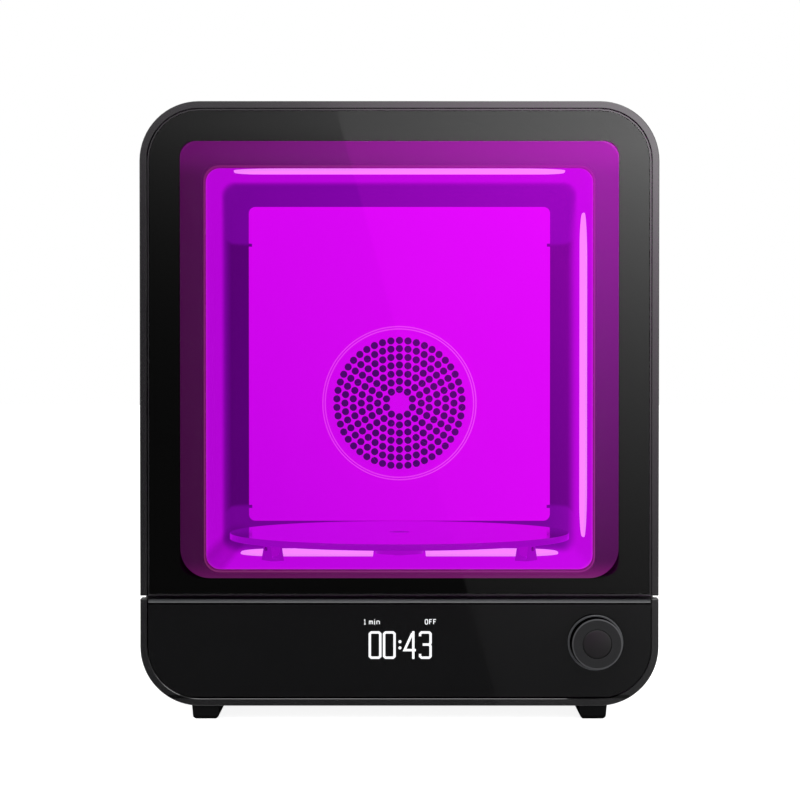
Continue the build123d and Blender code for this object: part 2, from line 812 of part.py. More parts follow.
# ---------------------------------------------------------------- circulation fan and heater
impeller_rear = chamber_back - impeller_gap
motor_front = chamber_back + liner_wall

with BuildPart() as impeller:
    with BuildSketch(at_depth(impeller_rear)):
        with Locations((0, grille_height)):
            Circle(impeller_radius)
            Circle(fan_shaft_radius + fixed_fit, mode=Mode.SUBTRACT)
    extrude(amount=impeller_disc)
    with BuildSketch(at_depth(impeller_rear - impeller_disc)):
        with Locations((0, grille_height)):
            Circle(impeller_hub_radius)
            Circle(fan_shaft_radius + fixed_fit, mode=Mode.SUBTRACT)
    extrude(amount=impeller_height - impeller_disc)
    # Backward-leaning blades on circular arcs
    middle_radius = (blade_inner_radius + impeller_radius) / 2
    tip_radius = impeller_radius - blade_thickness
    tip = (tip_radius * cos(radians(blade_lean)), tip_radius * sin(radians(blade_lean)))
    middle = (middle_radius * cos(radians(blade_lean / 3)), middle_radius * sin(radians(blade_lean / 3)))
    blade_line = ThreePointArc((blade_inner_radius, 0), middle, tip, mode=Mode.PRIVATE)
    with BuildSketch(at_depth(impeller_rear - impeller_disc)):
        with Locations((0, grille_height)):
            with PolarLocations(0, blade_count):
                SlotArc(blade_line, blade_thickness)
    extrude(amount=impeller_height - impeller_disc)

impeller.part.label = "impeller"
export_step(impeller.part, "parts/impeller.step")

with BuildPart() as fan_shaft:
    shaft_back = motor_front + fan_motor_length - motor_plate_thickness - shaft_end_gap
    with BuildSketch(at_depth(impeller_rear - impeller_height)):
        with Locations((0, grille_height)):
            Circle(fan_shaft_radius)
    extrude(amount=-(shaft_back - impeller_rear + impeller_height))

fan_shaft.part.label = "fan_shaft"
export_step(fan_shaft.part, "parts/fan_shaft.step")

with BuildPart() as fan_motor:
    with BuildSketch(at_depth(motor_front)):
        with Locations((0, grille_height)):
            Rectangle(motor_plate_size, motor_plate_size)
    extrude(amount=-motor_plate_thickness)
    fillet(fan_motor.edges().filter_by(Axis.Y), motor_plate_radius)
    with BuildSketch(at_depth(motor_front)):
        with Locations((0, grille_height)):
            Circle(fan_motor_radius)
    extrude(amount=-fan_motor_length)
    chamfer(fan_motor.faces().sort_by(Axis.Y)[-1].edges(), motor_chamfer)
    with BuildSketch(at_depth(motor_front)):
        with Locations((0, grille_height)):
            Circle(fan_shaft_radius + running_fit)
    extrude(amount=-(fan_motor_length - motor_plate_thickness), mode=Mode.SUBTRACT)

fan_motor.part.label = "fan_motor"
export_step(fan_motor.part, "parts/fan_motor.step")

with BuildPart() as heater_ring:
    heater_depth = chamber_back - heater_gap
    heater_centre = (0, y_front + heater_depth, grille_height)
    # The section starts beside the opening at the bottom and turns round the fan axis
    start_sine = sin(radians(heater_opening / 2))
    start_cosine = cos(radians(heater_opening / 2))
    start_plane = Plane(
        origin=heater_centre, x_dir=(-start_sine, 0, -start_cosine), z_dir=(start_cosine, 0, -start_sine)
    )
    with BuildSketch(start_plane):
        with Locations((heater_radius, 0)):
            Rectangle(heater_section, heater_section)
    revolve(axis=Axis(heater_centre, (0, 1, 0)), revolution_arc=360 - heater_opening)
    with BuildSketch(at_depth(heater_depth)):
        with Locations(*terminal_places):
            Circle(terminal_radius)
    extrude(amount=-(heater_gap + liner_wall + terminal_length))

heater_ring.part.label = "heater_ring"
export_step(heater_ring.part, "parts/heater_ring.step")

# ---------------------------------------------------------------- light bars


def light_cover(length, width, taper, tapered_ends=2):
    """Shallow cover whose flat back lies on the local XY plane. The end at local +x is always tapered."""
    with BuildPart(mode=Mode.PRIVATE) as cover:
        with BuildSketch():
            with Locations(((tapered_ends / 2 - 1) * taper, 0)):
                Rectangle(length - tapered_ends * taper, width)
            with Locations((length / 2 - taper, 0)):
                Ellipse(taper, width / 2)
            if tapered_ends > 1:
                with Locations((taper - length / 2, 0)):
                    Ellipse(taper, width / 2)
        extrude(amount=bar_proud)
        fillet(cover.faces().sort_by(Axis.Z)[-1].edges(), bar_edge_radius)
    return cover.part


with BuildPart() as top_light_bar:
    bar_plane = Plane(origin=(0, y_front + bar_top_depth, chamber_top), x_dir=(1, 0, 0), z_dir=(0, 0, -1))
    add(bar_plane.location * light_cover(bar_top_length, bar_top_width, bar_top_taper))

top_light_bar.part.label = "top_light_bar"
export_step(top_light_bar.part, "parts/top_light_bar.step")

with BuildPart() as left_light_bar:
    bar_plane = Plane(
        origin=(-chamber_side, y_front + bar_side_depth, bar_side_height), x_dir=(0, 0, 1), z_dir=(1, 0, 0)
    )
    add(bar_plane.location * light_cover(bar_side_length, bar_side_width, bar_side_taper))

left_light_bar.part.label = "left_light_bar"
export_step(left_light_bar.part, "parts/left_light_bar.step")

with BuildPart() as right_light_bar:
    add(left_light_bar.part.mirror(Plane.YZ))

right_light_bar.part.label = "right_light_bar"
export_step(right_light_bar.part, "parts/right_light_bar.step")

with BuildPart() as floor_light_bars:
    for side in (-1, 1):
        bar_plane = Plane(
            origin=(side * floor_bar_x, y_front + bar_floor_depth, chamber_floor),
            x_dir=(side, 0, 0),
            z_dir=(0, 0, 1),
        )
        add(bar_plane.location * light_cover(bar_floor_length, bar_floor_width, bar_floor_taper, 1))

floor_light_bars.part.label = "floor_light_bars"
export_step(floor_light_bars.part, "parts/floor_light_bars.step")


def led_board(slot_length, count):
    """Strip of board lying outside the liner, with its diodes standing in the liner's slot."""
    with BuildPart(mode=Mode.PRIVATE) as board:
        with BuildSketch():
            Rectangle(slot_length + 2 * board_margin, board_width)
        extrude(amount=-board_thickness)
        with BuildSketch():
            with GridLocations(slot_length / count, 0, count, 1):
                Rectangle(led_size, led_size)
        extrude(amount=led_height)
    return board.part


top_board_plane = Plane(
    origin=(0, y_front + bar_top_depth, chamber_top + liner_wall), x_dir=(1, 0, 0), z_dir=(0, 0, -1)
)
side_board_planes = [
    Plane(
        origin=(side * (chamber_side + liner_wall), y_front + bar_side_depth, bar_side_height),
        x_dir=(0, 0, 1),
        z_dir=(-side, 0, 0),
    )
    for side in (-1, 1)
]
floor_board_planes = [
    Plane(origin=(x, y_front + bar_floor_depth, chamber_floor - liner_wall), x_dir=(1, 0, 0), z_dir=(0, 0, 1))
    for x in (-floor_bar_x, floor_bar_x)
]

with BuildPart() as top_led_board:
    add(top_board_plane.location * led_board(top_slot_length, led_count))

top_led_board.part.label = "top_led_board"
export_step(top_led_board.part, "parts/top_led_board.step")

with BuildPart() as side_led_boards:
    for board_plane in side_board_planes:
        add(board_plane.location * led_board(side_slot_length, led_count))

side_led_boards.part.label = "side_led_boards"
export_step(side_led_boards.part, "parts/side_led_boards.step")

with BuildPart() as floor_led_boards:
    for board_plane in floor_board_planes:
        add(board_plane.location * led_board(floor_slot_length, led_count // 2))

floor_led_boards.part.label = "floor_led_boards"
export_step(floor_led_boards.part, "parts/floor_led_boards.step")


def heat_sink():
    """Finned extrusion whose flat back lies on the local XY plane, fins pointing down."""
    with BuildPart(mode=Mode.PRIVATE) as sink:
        with BuildSketch():
            Rectangle(sink_length, sink_width)
        extrude(amount=-sink_base)
        with BuildSketch(Plane.XY.offset(-sink_base)):
            with GridLocations(0, (sink_width - fin_thickness) / (fin_count - 1), 1, fin_count):
                Rectangle(sink_length, fin_thickness)
        extrude(amount=-fin_height)
    return sink.part


with BuildPart() as top_heat_sink:
    add(top_board_plane.offset(-board_thickness).location * heat_sink())

top_heat_sink.part.label = "top_heat_sink"
export_step(top_heat_sink.part, "parts/top_heat_sink.step")

with BuildPart() as side_heat_sinks:
    for board_plane in side_board_planes:
        add(board_plane.offset(-board_thickness).location * heat_sink())

side_heat_sinks.part.label = "side_heat_sinks"
export_step(side_heat_sinks.part, "parts/side_heat_sinks.step")

# ---------------------------------------------------------------- turntable
with BuildPart() as turntable:
    with BuildSketch(Plane.XZ.offset(-table_y)):
        bore = spigot_radius + fixed_fit
        rim_inner = table_radius - table_rim_width
        with BuildLine():
            Polyline(
                (bore, table_under),
                (bore, table_top),
                (table_radius, table_top),
                (table_radius, table_top - table_rim_height),
                (rim_inner, table_top - table_rim_height),
                (rim_inner, table_under),
                close=True,
            )
        make_face()
    revolve(axis=Axis((0, table_y, 0), (0, 0, 1)))

turntable.part.label = "turntable"
export_step(turntable.part, "parts/turntable.step")

with BuildPart() as drive_hub:
    with BuildSketch(Plane.XY.offset(chamber_floor + hub_gap)):
        with Locations((0, table_y)):
            Circle(hub_radius)
    extrude(amount=table_under - chamber_floor - hub_gap)
    with BuildSketch(Plane.XY.offset(table_under)):
        with Locations((0, table_y)):
            Circle(spigot_radius)
    extrude(amount=table_plate - spigot_recess)
    with BuildSketch(Plane.XY.offset(chamber_floor + hub_gap)):
        with Locations((0, table_y)):
            Circle(drive_shaft_radius)
    extrude(amount=-(chamber_floor + hub_gap - seam_bottom + drive_shaft_grip))

drive_hub.part.label = "drive_hub"
export_step(drive_hub.part, "parts/drive_hub.step")

with BuildPart() as turntable_motor:
    with BuildSketch(Plane.XY.offset(seam_bottom)):
        with Locations((0, table_y)):
            Circle(table_motor_radius)
    extrude(amount=-table_motor_height)
    chamfer(turntable_motor.faces().sort_by(Axis.Z)[0].edges(), motor_ear_thickness)
    with BuildSketch(Plane.XY.offset(seam_bottom)):
        with Locations((0, table_y)):
            SlotOverall(motor_ear_length, motor_ear_width)
    extrude(amount=-motor_ear_thickness)
    with BuildSketch(Plane.XY.offset(seam_bottom)):
        with Locations((0, table_y)):
            Circle(drive_shaft_radius + running_fit)
    extrude(amount=-(drive_shaft_grip + shaft_end_gap), mode=Mode.SUBTRACT)

turntable_motor.part.label = "turntable_motor"
export_step(turntable_motor.part, "parts/turntable_motor.step")

axle_height = table_under - roller_play - roller_radius
cheek_start = roller_width / 2 + cheek_gap


def roller_plane(angle):
    """Plane across a roller's axle at the middle of its width; local y points up."""
    radial = Vector(cos(radians(angle)), sin(radians(angle)), 0)
    origin = Vector(0, table_y, axle_height) + radial * roller_circle
    return Plane(origin=origin, x_dir=(-radial.Y, radial.X, 0), z_dir=radial)


with BuildPart() as roller_brackets:
    drop = axle_height - chamber_floor
    for angle in roller_angles.values():
        plane = roller_plane(angle)
        for cheek_plane, direction in ((plane.offset(cheek_start), 1), (plane.offset(-cheek_start), -1)):
            with BuildSketch(cheek_plane):
                with BuildLine():
                    Polyline(
                        (-bracket_width / 2, -drop),
                        (bracket_width / 2, -drop),
                        (bracket_top_width / 2, bracket_height - drop),
                        (-bracket_top_width / 2, bracket_height - drop),
                        close=True,
                    )
                make_face()
                Circle(axle_radius + fixed_fit, mode=Mode.SUBTRACT)
            extrude(amount=direction * cheek_thickness)
        with BuildSketch(plane):
            with Locations((0, bracket_pad / 2 - drop)):
                Rectangle(bracket_width, bracket_pad)
        extrude(amount=cheek_start + cheek_thickness, both=True)

roller_brackets.part.label = "roller_brackets"
export_step(roller_brackets.part, "parts/roller_brackets.step")

with BuildPart() as roller_axles:
    for angle in roller_angles.values():
        with BuildSketch(roller_plane(angle)):
            Circle(axle_radius)
        extrude(amount=cheek_start + cheek_thickness + axle_proud, both=True)

roller_axles.part.label = "roller_axles"
export_step(roller_axles.part, "parts/roller_axles.step")


def roller(angle):
    """Idler roller with bevelled edges and a bore for its axle."""
    with BuildPart() as wheel:
        with BuildSketch(roller_plane(angle)):
            Circle(roller_radius)
        extrude(amount=roller_width / 2, both=True)
        chamfer(wheel.edges(), roller_bevel)
        with BuildSketch(roller_plane(angle)):
            Circle(axle_radius + running_fit)
        extrude(amount=roller_width, both=True, mode=Mode.SUBTRACT)
    return wheel


for side, angle in roller_angles.items():
    wheel = roller(angle)
    wheel.part.label = f"roller_{side}"
    export_step(wheel.part, f"parts/roller_{side}.step")

# ---------------------------------------------------------------- inside the base
with BuildPart() as power_supply:
    with BuildSketch(Plane.XY.offset(tub_floor)):
        with Locations(supply_place):
            Rectangle(supply_size[0], supply_size[1])
    extrude(amount=supply_size[2])
    # Cooling slots across the lid
    with BuildSketch(Plane.XY.offset(tub_floor + supply_size[2])):
        with Locations(supply_place):
            with GridLocations(0, supply_size[1] / (supply_slot_count + 1), 1, supply_slot_count):
                Rectangle(*supply_slot)
    extrude(amount=-supply_slot_depth, mode=Mode.SUBTRACT)

power_supply.part.label = "power_supply"
export_step(power_supply.part, "parts/power_supply.step")

with BuildPart() as main_board:
    logic_bottom = tub_floor + logic_lift
    with BuildSketch(Plane.XY.offset(logic_bottom)):
        with Locations(logic_place):
            Rectangle(*logic_size)
    extrude(amount=board_thickness)
    # Two relays, two capacitors and a row of terminals
    with BuildSketch(Plane.XY.offset(logic_bottom + board_thickness)):
        with Locations((logic_place[0] - logic_size[0] / 4, logic_place[1])):
            with GridLocations(0, relay_pitch, 1, 2):
                Rectangle(*relay_size)
        with Locations((logic_place[0] + logic_size[0] / 4, logic_place[1])):
            with GridLocations(0, capacitor_pitch, 1, 2):
                Circle(capacitor_radius)
        with Locations((logic_place[0], logic_place[1] + logic_size[1] / 2 - terminal_row_inset)):
            Rectangle(*terminal_row)
    extrude(amount=logic_part_height)

main_board.part.label = "main_board"
export_step(main_board.part, "parts/main_board.step")

# ---------------------------------------------------------------- rear cover and what it holds
screw_places = [
    (side * x, height)
    for side in (-1, 1)
    for x, height in (
        (corner, low_boss_height),
        (side_boss_x, side_boss_height),
        (corner, high_boss_height),
    )
]
paddle_sine = sin(radians(paddle_tilt))
paddle_cosine = cos(radians(paddle_tilt))
paddle_reach = paddle_height * paddle_cosine + paddle_length * paddle_sine
paddle_depth = body_depth + rocker_proud - paddle_reach
paddle_swing = paddle_length * paddle_cosine + paddle_height * paddle_sine
switch_inner = (paddle_width + 2 * paddle_gap, 2 * (paddle_swing + paddle_gap))
switch_outer = (switch_inner[0] + 2 * switch_wall, switch_inner[1] + 2 * switch_wall)
fan_depth = shell_back - fan_thickness

with BuildPart() as rear_cover:
    with BuildSketch(at_depth(shell_back)):
        add(body_section(0, body_bottom, body_top))
    extrude(amount=-cover_thickness)
    chamfer(rear_cover.faces().sort_by(Axis.Y)[-1].edges(), base_chamfer)
    with BuildSketch(at_depth(shell_back)):
        with Locations(inlet_place):
            Rectangle(inlet_body[0] + 2 * running_fit, inlet_body[1] + 2 * running_fit)
        with Locations(switch_place):
            Rectangle(switch_outer[0] + 2 * running_fit, switch_outer[1] + 2 * running_fit)
        # Air slots of the base
        with Locations(vent_place):
            with GridLocations(0, vent_pitch, 1, vent_rows):
                Rectangle(*vent_slot)
        # Round grille of slots in front of the cooling fan
        for row in range(fan_grille_rows):
            rise = (row - (fan_grille_rows - 1) / 2) * fan_grille_pitch
            slot = 2 * sqrt(fan_bore_radius**2 - rise**2)
            with Locations((0, fan_height + rise)):
                Rectangle(slot, vent_slot[1])
    extrude(amount=-cover_thickness, mode=Mode.SUBTRACT)
    with BuildSketch(at_depth(shell_back)):
        with Locations(*screw_places):
            Circle(screw_radius + fixed_fit)
    extrude(amount=-cover_thickness, mode=Mode.SUBTRACT)
    with BuildSketch(at_depth(body_depth)):
        with Locations(*screw_places):
            Circle(screw_head_radius + fixed_fit)
    extrude(amount=screw_head_height, mode=Mode.SUBTRACT)

rear_cover.part.label = "rear_cover"
export_step(rear_cover.part, "parts/rear_cover.step")

with BuildPart() as cover_screws:
    with BuildSketch(at_depth(body_depth)):
        with Locations(*screw_places):
            Circle(screw_head_radius)
    extrude(amount=screw_head_height)
    with BuildSketch(at_depth(body_depth - screw_head_height)):
        with Locations(*screw_places):
            Circle(screw_radius)
    extrude(amount=screw_length)

cover_screws.part.label = "cover_screws"
export_step(cover_screws.part, "parts/cover_screws.step")

with BuildPart() as mains_inlet:
    with BuildSketch(at_depth(body_depth + inlet_flange_thickness)):
        with Locations(inlet_place):
            RectangleRounded(*inlet_flange, radius=inlet_flange_thickness)
    extrude(amount=inlet_flange_thickness)
    with BuildSketch(at_depth(body_depth)):
        with Locations(inlet_place):
            Rectangle(*inlet_body)
    extrude(amount=inlet_depth)
    with BuildSketch(at_depth(body_depth + inlet_flange_thickness)):
        with Locations(inlet_place):
            Rectangle(*inlet_cavity)
    extrude(amount=inlet_flange_thickness + inlet_depth - inlet_back_wall, mode=Mode.SUBTRACT)
    # Three flat pins
    with BuildSketch(at_depth(body_depth - inlet_depth + inlet_back_wall)):
        with Locations(inlet_place):
            with Locations((-pin_spacing, -pin_drop), (0, earth_pin_rise), (pin_spacing, -pin_drop)):
                Rectangle(*pin_size)
    extrude(amount=-pin_length)

mains_inlet.part.label = "mains_inlet"
export_step(mains_inlet.part, "parts/mains_inlet.step")

with BuildPart() as rocker_housing:
    flange = (switch_outer[0] + 2 * switch_flange_rim, switch_outer[1] + 2 * switch_flange_rim)
    with BuildSketch(at_depth(body_depth + switch_flange_thickness)):
        with Locations(switch_place):
            RectangleRounded(*flange, radius=switch_flange_rim / 2)
    extrude(amount=switch_flange_thickness)
    with BuildSketch(at_depth(body_depth)):
        with Locations(switch_place):
            Rectangle(*switch_outer)
    extrude(amount=switch_depth)
    with BuildSketch(at_depth(body_depth + switch_flange_thickness)):
        with Locations(switch_place):
            Rectangle(*switch_inner)
    extrude(amount=switch_flange_thickness + switch_depth - switch_wall, mode=Mode.SUBTRACT)
    with BuildSketch(Plane.YZ.offset(switch_place[0])):
        with Locations((y_front + paddle_depth, switch_place[1])):
            Circle(paddle_pin_radius + running_fit)
    extrude(amount=switch_outer[0], both=True, mode=Mode.SUBTRACT)

rocker_housing.part.label = "rocker_housing"
export_step(rocker_housing.part, "parts/rocker_housing.step")

with BuildPart() as rocker:
    # Drawn about the pivot, tilted to the off position: upper end out
    paddle_plane = Plane(
        origin=(switch_place[0], y_front + paddle_depth, switch_place[1]),
        x_dir=(0, paddle_cosine, -paddle_sine),
        z_dir=(1, 0, 0),
    )
    with BuildSketch(paddle_plane):
        with BuildLine():
            Polyline(
                (paddle_height, paddle_length),
                (paddle_height - paddle_valley, 0),
                (paddle_height, -paddle_length),
                (0, -paddle_length + paddle_valley),
                (-paddle_tail, -paddle_tail),
                (-paddle_tail, paddle_tail),
                (0, paddle_length - paddle_valley),
                close=True,
            )
        make_face()
    extrude(amount=paddle_width / 2, both=True)
    with BuildSketch(paddle_plane):
        Circle(paddle_pin_radius)
    extrude(amount=paddle_width / 2 + paddle_gap + switch_wall, both=True)

rocker.part.label = "rocker"
export_step(rocker.part, "parts/rocker.step")

with BuildPart() as cooling_fan_frame:
    with BuildSketch(at_depth(fan_depth)):
        with Locations((0, fan_height)):
            RectangleRounded(fan_size, fan_size, fan_corner_radius)
            Circle(fan_bore_radius, mode=Mode.SUBTRACT)
    extrude(amount=-fan_thickness)
    # Struts and bearing boss on the side of the rear cover
    with BuildSketch(at_depth(shell_back - fan_back)):
        with Locations((0, fan_height)):
            Rectangle(2 * fan_bore_radius + fan_strut, fan_strut)
            Rectangle(fan_strut, 2 * fan_bore_radius + fan_strut)
            Circle(fan_hub_radius)
    extrude(amount=-fan_back)
    with BuildSketch(at_depth(fan_depth + 2 * fan_back)):
        with Locations((0, fan_height)):
            Circle(fan_boss_radius)
            Circle(fan_pin_radius + running_fit, mode=Mode.SUBTRACT)
    extrude(amount=-(fan_thickness - 3 * fan_back))

cooling_fan_frame.part.label = "cooling_fan_frame"
export_step(cooling_fan_frame.part, "parts/cooling_fan_frame.step")

with BuildPart() as cooling_fan_rotor:
    rotor_front = fan_depth + fan_back / 2
    rotor_length = fan_thickness - 2 * fan_back
    with BuildSketch(at_depth(rotor_front)):
        with Locations((0, fan_height)):
            Circle(fan_hub_radius)
    extrude(amount=-rotor_length)
    with BuildSketch(at_depth(rotor_front + fan_back)):
        with Locations((0, fan_height)):
            Circle(fan_boss_radius + fan_back)
    extrude(amount=-rotor_length, mode=Mode.SUBTRACT)
    with BuildSketch(at_depth(rotor_front + fan_back)):
        with Locations((0, fan_height)):
            Circle(fan_pin_radius)
    extrude(amount=-(fan_thickness - 3 * fan_back))
    blade_length = fan_bore_radius - fan_tip_gap - fan_hub_radius
    for n in range(fan_blade_count):
        angle = radians(n * 360 / fan_blade_count)
        radial = Vector(cos(angle), 0, sin(angle))
        root = Vector(0, y_front + fan_depth + fan_thickness / 2 - fan_back / 2, fan_height)
        blade_plane = Plane(
            origin=root + radial * (fan_hub_radius - fan_blade_root), x_dir=(0, 1, 0), z_dir=radial
        )
        with BuildSketch(blade_plane):
            Rectangle(fan_blade_chord, fan_blade_thickness, rotation=fan_blade_pitch)
        extrude(amount=blade_length + fan_blade_root)

cooling_fan_rotor.part.label = "cooling_fan_rotor"
export_step(cooling_fan_rotor.part, "parts/cooling_fan_rotor.step")

# ---------------------------------------------------------------- door
latch_inner = strike_radius + running_fit

with BuildPart() as door_frame:
    with BuildSketch(at_depth(0)):
        add(body_section(0, seam_top, body_top))
    extrude(amount=-door_thickness)
    rear_left = door_frame.faces().sort_by(Axis.X)[0].edges().sort_by(Axis.Y)[-1]
    chamfer(rear_left, hinge_edge_chamfer)
    # Pocket of the glass, open at the bottom
    with BuildSketch(at_depth(0)):
        add(body_section(frame_band, seam_top, body_top))
    extrude(amount=-pocket_depth, mode=Mode.SUBTRACT)
    chamfer(door_frame.faces().sort_by(Axis.Y)[0].edges(), band_chamfer)
    with BuildSketch(at_depth(pocket_depth)):
        add(window_section(glazing_ledge))
    extrude(amount=-door_thickness, mode=Mode.SUBTRACT)
    # Rebate of the inner frame, from behind
    with BuildSketch(at_depth(door_thickness)):
        add(window_section(glazing_ledge + inner_frame_lip))
    extrude(amount=inner_frame_thickness, mode=Mode.SUBTRACT)
    with BuildSketch(at_depth(door_thickness)):
        for height in magnet_heights:
            with Locations((latch_x, height)):
                Circle(latch_inner)
    extrude(amount=strike_thickness, mode=Mode.SUBTRACT)
    # Hinge notches, open to the left and to the back, and the pins' holes
    notch_front = hinge_depth - hinge_eye_radius - hinge_notch_gap
    notch_right = hinge_x + hinge_eye_radius + 2 * fit_gap
    notch_middle_x = (notch_right - half_width - hinge_inset) / 2
    for height in hinge_heights:
        notch_half = hinge_arm_height / 2 + touch_gap
        with BuildSketch(Plane.XY.offset(height - notch_half)):
            with Locations((notch_middle_x, y_front + (notch_front + shell_front) / 2)):
                Rectangle(notch_right + half_width + hinge_inset, shell_front - notch_front)
        extrude(amount=2 * notch_half, mode=Mode.SUBTRACT)
        with BuildSketch(Plane.XY.offset(height)):
            with Locations((hinge_x, y_front + hinge_depth)):
                Circle(hinge_pin_radius + fixed_fit)
        extrude(amount=notch_half + hinge_pin_grip, both=True, mode=Mode.SUBTRACT)

door_frame.part.label = "door_frame"
export_step(door_frame.part, "parts/door_frame.step")

with BuildPart() as door_glass:
    with BuildSketch(at_depth(glass_set_back)):
        add(body_section(frame_band + joint_gap, seam_top + touch_gap, body_top))
    extrude(amount=-glass_thickness)
    chamfer(door_glass.faces().sort_by(Axis.Y)[0].edges(), glass_chamfer)

door_glass.part.label = "door_glass"
export_step(door_glass.part, "parts/door_glass.step")

with BuildPart() as glass_mask:
    with BuildSketch(at_depth(glass_set_back + glass_thickness)):
        add(body_section(frame_band + joint_gap, seam_top + touch_gap, body_top))
        add(window_section(0), mode=Mode.SUBTRACT)
    extrude(amount=-mask_thickness)

glass_mask.part.label = "glass_mask"
export_step(glass_mask.part, "parts/glass_mask.step")

with BuildPart() as door_inner_frame:
    with BuildSketch(at_depth(door_thickness - inner_frame_thickness)):
        add(window_section(glazing_ledge + inner_frame_lip - fit_gap))
        add(chamber_section(mouth_margin), mode=Mode.SUBTRACT)
    extrude(amount=-inner_frame_thickness)

door_inner_frame.part.label = "door_inner_frame"
export_step(door_inner_frame.part, "parts/door_inner_frame.step")

with BuildPart() as door_seal:
    with BuildSketch(at_depth(door_thickness)):
        add(chamber_section(mouth_margin + seal_inset + seal_width))
        add(chamber_section(mouth_margin + seal_inset), mode=Mode.SUBTRACT)
    extrude(amount=-(door_gap - touch_gap))

door_seal.part.label = "door_seal"
export_step(door_seal.part, "parts/door_seal.step")

with BuildPart() as strike_plates:
    with BuildSketch(at_depth(door_thickness)):
        for height in magnet_heights:
            with Locations((latch_x, height)):
                Circle(strike_radius)
    extrude(amount=strike_thickness)

strike_plates.part.label = "strike_plates"
export_step(strike_plates.part, "parts/strike_plates.step")

with BuildPart() as door_magnets:
    with BuildSketch(at_depth(door_thickness + touch_gap)):
        for height in magnet_heights:
            with Locations((latch_x, height)):
                Circle(magnet_radius)
    extrude(amount=-magnet_length)

door_magnets.part.label = "door_magnets"
export_step(door_magnets.part, "parts/door_magnets.step")

# ---------------------------------------------------------------- hinge and door switch
with BuildPart() as hinge_brackets:
    arm_left = -half_width + shell_wall + 2 * fit_gap
    arm_back = liner_front + hinge_foot_thickness
    for height in hinge_heights:
        with BuildSketch(Plane.XY.offset(height - hinge_arm_height / 2)):
            with Locations((hinge_x, y_front + hinge_depth)):
                Circle(hinge_eye_radius)
            arm_right = hinge_x + hinge_eye_radius
            with Locations(((arm_left + arm_right) / 2, y_front + (hinge_depth + arm_back) / 2)):
                Rectangle(arm_right - arm_left, arm_back - hinge_depth)
            with Locations((arm_left + hinge_foot_length / 2, y_front + (liner_front + arm_back) / 2)):
                Rectangle(hinge_foot_length, hinge_foot_thickness)
            with Locations((hinge_x, y_front + hinge_depth)):
                Circle(hinge_pin_radius + running_fit, mode=Mode.SUBTRACT)
        extrude(amount=hinge_arm_height)

hinge_brackets.part.label = "hinge_brackets"
export_step(hinge_brackets.part, "parts/hinge_brackets.step")

with BuildPart() as hinge_pins:
    for height in hinge_heights:
        with BuildSketch(Plane.XY.offset(height)):
            with Locations((hinge_x, y_front + hinge_depth)):
                Circle(hinge_pin_radius)
        extrude(amount=hinge_arm_height / 2 + touch_gap + hinge_pin_grip, both=True)

hinge_pins.part.label = "hinge_pins"
export_step(hinge_pins.part, "parts/hinge_pins.step")

with BuildPart() as interlock_switch:
    with BuildSketch(at_depth(liner_front)):
        with Locations((latch_x, microswitch_height)):
            Rectangle(microswitch_size[0], microswitch_size[2])
            Circle(switch_pin_radius + running_fit, mode=Mode.SUBTRACT)
    extrude(amount=-microswitch_size[1])

interlock_switch.part.label = "interlock_switch"
export_step(interlock_switch.part, "parts/interlock_switch.step")

with BuildPart() as interlock_plunger:
    with BuildSketch(at_depth(door_thickness + touch_gap)):
        with Locations((latch_x, microswitch_height)):
            Circle(switch_pin_radius)
    extrude(amount=-(shell_front + front_plate + microswitch_size[1] / 2 - door_thickness - touch_gap))

interlock_plunger.part.label = "interlock_plunger"
export_step(interlock_plunger.part, "parts/interlock_plunger.step")
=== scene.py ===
# %% [markdown]
# # A bench-top light curing unit
#
# The real object is a small black cabinet with a glass door. Inside is a metal chamber with light
# bars, a turntable and a perforated plate in front of a fan. Printed models are cured in it.
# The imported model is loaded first, because every piece made here has to sit on it.

# %% Load the frame
import bpy
import bmesh
from functools import reduce
from math import cos, pi, radians, sin
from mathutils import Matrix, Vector
from mathutils.geometry import delaunay_2d_cdt


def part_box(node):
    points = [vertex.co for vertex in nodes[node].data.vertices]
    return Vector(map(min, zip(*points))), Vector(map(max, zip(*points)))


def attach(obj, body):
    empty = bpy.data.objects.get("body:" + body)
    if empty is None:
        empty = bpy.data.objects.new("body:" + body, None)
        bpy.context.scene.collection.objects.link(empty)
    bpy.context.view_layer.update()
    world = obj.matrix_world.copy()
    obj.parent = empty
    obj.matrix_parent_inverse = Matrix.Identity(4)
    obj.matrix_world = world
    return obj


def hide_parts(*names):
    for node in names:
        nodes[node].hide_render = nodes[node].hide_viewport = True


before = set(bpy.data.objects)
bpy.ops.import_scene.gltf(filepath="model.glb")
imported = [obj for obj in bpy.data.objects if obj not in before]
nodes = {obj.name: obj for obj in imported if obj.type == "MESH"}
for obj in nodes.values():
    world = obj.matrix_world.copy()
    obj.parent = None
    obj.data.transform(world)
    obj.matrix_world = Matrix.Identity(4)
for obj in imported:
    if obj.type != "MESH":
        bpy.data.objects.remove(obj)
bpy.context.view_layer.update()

# %% [markdown]
# ## Units and places
#
# The frame is in metres. Millimetres are easier to read for an object of this size, so one helper
# turns them into metres, and another turns a depth behind the front of the door into a Y value.

# %% Helpers for places and colours
FRONT = -0.1355


def mm(value):
    """Metres from millimetres."""
    return value / 1000


def deep(depth):
    """Y of a place that lies a depth, in millimetres, behind the front of the door."""
    return FRONT + mm(depth)


def tone(red, green, blue):
    """Linear colour from the 0 to 255 numbers of a colour picker."""
    def linear(value):
        value = value / 255
        return value / 12.92 if value <= 0.04045 else ((value + 0.055) / 1.055) ** 2.4
    return (linear(red), linear(green), linear(blue), 1)


def scaled(colour, factor, lift=0.0):
    """A darker or paler copy of a colour."""
    return tuple(min(1, factor * c + lift) for c in colour[:3]) + (1,)


